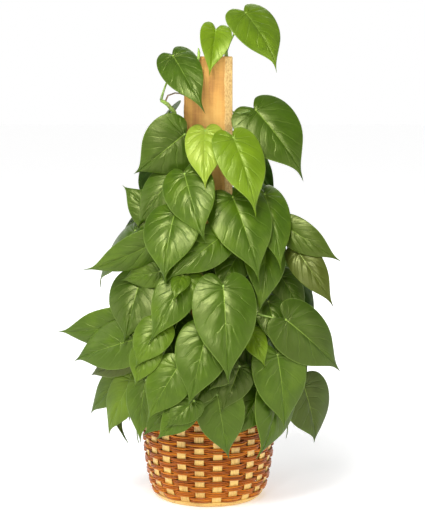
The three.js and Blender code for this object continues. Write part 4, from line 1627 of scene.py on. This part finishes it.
@dataclass
class Basket:
    """Woven basket: base board, split stakes, woven wall and twisted border."""

    profile: tuple = (
        (0.0, 0.069), (0.007, 0.075), (0.012, 0.0778), (0.024, 0.0815), (0.038, 0.084), (0.064, 0.0876),
        (0.127, 0.090),
    )
    foot_height: float = 0.007
    # Edge of the base board: share of its widening, distance inside that, and height.
    foot_edge: tuple = (
        (0, 0.001, 0), (0, 0, 0.0008), (0.45, 0, 0.00294), (1, 0.001, 0.00602), (1, 0.0018, 0.007),
    )
    foot_steps: int = 96
    wall_top: float = 0.1215
    stakes: int = 22
    rows: int = 15
    strands: int = 3
    stake_width: float = 0.0125
    stake_thickness: float = 0.0012
    stake_levels: int = 22
    stake_edge: float = 0.92
    stake_rise: float = 0.002
    wall_inset: float = 0.0026
    swing: float = 0.0022
    squareness: float = 2.2
    slip: float = 0.0026
    slips_round: float = 2.2
    cane_radius: float = 0.00126
    cane_sides: int = 7
    steps_per_stake: int = 8
    foot_gap: float = 0.0004
    border_radius: float = 0.0024
    border_inset: float = 0.0028
    border_rise: float = 0.0052
    border_cane: float = 0.0019
    border_tints: tuple = (0.35, 0.6, 0.45, 0.7)
    border_turns: int = 13
    border_steps: int = 288
    border_sides: int = 8

    def radius(self, height: float) -> float:
        """Outer radius of the wall at a height."""
        return between(self.profile, height)

    def base_board(self) -> bpy.types.Mesh:
        """The base board, its edge rounded over.

        Returns:
            The mesh.
        """
        low, high = self.radius(0), self.radius(self.foot_height)
        edge = [(low + out * (high - low) - inset, height) for out, inset, height in self.foot_edge]
        section = [(0.0, 0.0), *edge, (0.0, self.foot_height)]
        return turned_mesh("base_board", section, self.foot_steps)

    def stake(self) -> bpy.types.Mesh:
        """One flat stake that follows the wall, at the right of the axis.

        Returns:
            The mesh.
        """
        half, deep = self.stake_width / 2, self.stake_thickness / 2
        edge = self.stake_edge
        section = ((deep, -edge), (deep, edge), (0, 1), (-deep, edge), (-deep, -edge), (0, -1))
        heights = np.linspace(0.5 * self.foot_height, self.wall_top + self.stake_rise, self.stake_levels)
        middles = [self.radius(height) - self.wall_inset for height in heights]
        points = [(r + depth, side * half, z) for r, z in zip(middles, heights) for depth, side in section]
        return tube_mesh("stake", points, len(section))

    def border(self) -> bpy.types.Mesh:
        """Paths of the border's strands, twisted round each other on top of the wall.

        Returns:
            The paths as a mesh of edges.
        """
        middle = self.radius(self.wall_top) - self.border_inset
        turn = FULL_TURN * np.arange(self.border_steps) / self.border_steps
        lines = Lines()
        for strand in range(len(self.border_tints)):
            twist = self.border_turns * turn + FULL_TURN * strand / len(self.border_tints)
            away = middle + self.border_radius * np.cos(twist)
            height = self.wall_top + self.border_rise + self.border_radius * np.sin(twist)
            path = list(zip(away * np.cos(turn), away * np.sin(turn), height))
            lines.add(path, [self.border_cane] * len(path), [0.5] * len(path), closed=True)
        mesh = lines.mesh("border")
        store(mesh, "strand", np.repeat(self.border_tints, self.border_steps))
        return mesh

    def build(self, sweep: Recipe) -> None:
        """Makes the basket's three pieces.

        Args:
            sweep: Recipe for round strands along a path.
        """
        bottom = self.foot_height + self.foot_gap
        canes = weave_recipe(self.profile).bake(
            "basket_canes", mesh_of("start", [(0, 0, 0)], []), CANE, rows=self.rows, strands=self.strands,
            stakes=self.stakes, steps=self.stakes * self.steps_per_stake, bottom=bottom,
            pitch=(self.wall_top - bottom) / self.rows, inset=self.wall_inset, swing=self.swing,
            squareness=self.squareness, slip=self.slip, slips_round=self.slips_round,
            cane_radius=self.cane_radius, sides=self.cane_sides, seed=5,
        )
        settle(canes, "cane", "basket_weave")
        stakes = ring_recipe().bake("basket_stakes", self.stake(), PALE_WOOD, count=self.stakes)
        board = put("base_board", self.base_board(), BASE_BOARD)
        settle(joined("basket_stakes", [stakes, board]), "pale_wood", "basket_frame")
        border = sweep.bake("basket_border", self.border(), CANE, sides=self.border_sides)
        settle(border, "cane", "basket_rim")


@dataclass
class Post:
    """The sawn climbing post, with worn edges and uneven faces."""

    section: tuple = (
        (-0.0325, -0.006), (-0.0046, -0.019), (0.0213, -0.019), (0.032, -0.011), (0.032, 0.014),
        (-0.0325, 0.014),
    )
    centre: Triple = (0, -0.0025, 0)
    bottom: float = 0.014
    top: float = 0.591
    worn: float = 0.0012
    worn_corner: float = 0.25
    drawn_in: float = 0.96
    level_step: float = 0.007
    face_step: float = 0.005
    unevenness: float = 0.00055
    dent_scale: Triple = (90, 90, 14)
    dent_level: float = 0.6

    def ring(self) -> list[Vector]:
        """The section with its corners worn and its faces split.

        Returns:
            Its points.
        """
        corners = [Vector((x, y, 0)) for x, y in self.section]
        ring: list[Vector] = []
        for i, corner in enumerate(corners):
            before = (corners[i - 1] - corner).normalized()
            after = corners[(i + 1) % len(corners)] - corner
            ahead = after.normalized()
            flat = after.length - 2 * self.worn
            count = max(2, round(flat / self.face_step))
            ring += [corner + before * self.worn, corner + (before + ahead) * self.worn_corner * self.worn]
            ring += [corner + ahead * (self.worn + flat * k / count) for k in range(count)]
        return ring

    def build(self) -> None:
        """Makes the post."""
        ring = self.ring()
        centre = Vector(self.centre)
        heights = [self.bottom, self.bottom + self.worn]
        heights += list(np.arange(self.bottom + self.level_step, self.top - self.worn, self.level_step))
        heights += [self.top - self.worn, self.top]
        points: list[Vector] = []
        for height in heights:
            drawn = self.drawn_in if height in (self.bottom, self.top) else 1.0
            for point in ring:
                dent = relief.noise(Vector(self.dent_scale) * (point + UP * height)) - self.dent_level
                away = point - centre
                spot = centre + away * drawn + away.normalized() * (dent * self.unevenness)
                points.append(spot + UP * height)
        piece = put("climbing_post", tube_mesh("climbing_post", points, len(ring)), SAWN_WOOD)
        settle(piece, "post_wood", "post")


def scatter_recipe() -> Recipe:
    """Recipe that scatters crumbs over the upper face of a mesh and keeps the mesh under them.

    Returns:
        The recipe.
    """
    recipe = Recipe("soil_crumbs", ["seed"], ("amount", "crumb"))
    graph, given = recipe.graph, recipe.given
    normal = graph.get("ShaderNodeSeparateXYZ", {0: graph.get("GeometryNodeInputNormal")}, out=2)
    facing_up = graph.get("FunctionNodeCompare", {0: normal, 1: 0.6}, operation="GREATER_THAN")
    seed = given["seed"]
    inputs = {"Mesh": given["Geometry"], "Selection": facing_up, "Density": given["amount"], "Seed": seed}
    spots = graph.get("GeometryNodeDistributePointsOnFaces", inputs)
    crumb = graph.get("GeometryNodeMeshIcoSphere", {"Radius": given["crumb"], "Subdivisions": 1})
    turns = ((0, 0, 0), (6.28, 6.28, 6.28))
    sizes = ((0.5, 0.4, 0.3), (1.7, 1.4, 1.0))
    rotation, scale = (
        graph.get("FunctionNodeRandomValue", {0: low, 1: high, "Seed": seed}, data_type="FLOAT_VECTOR")
        for low, high in (turns, sizes)
    )
    inputs = {"Points": spots, "Instance": crumb, "Rotation": rotation, "Scale": scale}
    both = graph.add("GeometryNodeJoinGeometry", {0: graph.get("GeometryNodeInstanceOnPoints", inputs)})
    graph.feed(both.inputs[0], given["Geometry"])
    recipe.close(Signal(graph, both.outputs[0]))
    return recipe


@dataclass
class SoilBed:
    """Potting soil that fills the grow pot, mounded a little, with crumbs on it."""

    pot_floor: float = 0.0073
    pot_wall: float = 0.0014
    pot_bottom: float = 0.060
    pot_top: float = 0.077
    pot_height: float = 0.113
    gap: float = 0.0003
    top: float = 0.108
    mound: float = 0.0024
    clods: float = 0.0022
    clod_scale: float = 70
    rings: int = 16
    steps: int = 72
    crumbs: float = 16000.0
    crumb: float = 0.0017

    def build(self) -> None:
        """Makes the soil."""
        bottom = self.pot_floor + self.pot_wall + self.gap
        foot = self.pot_bottom - self.pot_wall - 2 * self.gap
        up = (self.top - self.pot_floor - self.pot_wall) / (self.pot_height - self.pot_wall)
        rim = foot + (self.pot_top - self.pot_bottom) * up
        section = [(0.0, bottom), (foot, bottom), (rim, self.top)]
        for share in (k / self.rings for k in range(1, self.rings)):
            section.append((rim * (1 - share), self.top + self.mound * math.sin(0.5 * math.pi * share)))
        section.append((0.0, self.top + self.mound))
        bed = turned_mesh("soil_form", section, self.steps)
        for vertex in bed.vertices:
            if vertex.co.z > self.top - self.gap and vertex.co.xy.length < rim - self.gap:
                vertex.co.z += self.clods * relief.noise(vertex.co * self.clod_scale)
        piece = scatter_recipe().bake("soil_bed", bed, EARTH, amount=self.crumbs, crumb=self.crumb, seed=3)
        settle(piece, "soil", "soil")


def dress_grow_pot() -> None:
    """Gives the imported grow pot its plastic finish."""
    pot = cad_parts["grow_pot"]
    pot.data.materials.clear()
    pot.data.materials.append(PLASTIC.material())
    LOG.info("grow_pot: the packed pot, in dark plastic")


def main() -> None:
    """Builds the studio and then each part of the plant and its basket."""
    logging.basicConfig(level=logging.INFO, format="%(message)s")
    EYE.set_up()
    foliage = Foliage()
    foliage.build()
    Basket().build(foliage.sweep)
    Post().build()
    SoilBed().build()
    dress_grow_pot()


if __name__ == "__main__":
    main()
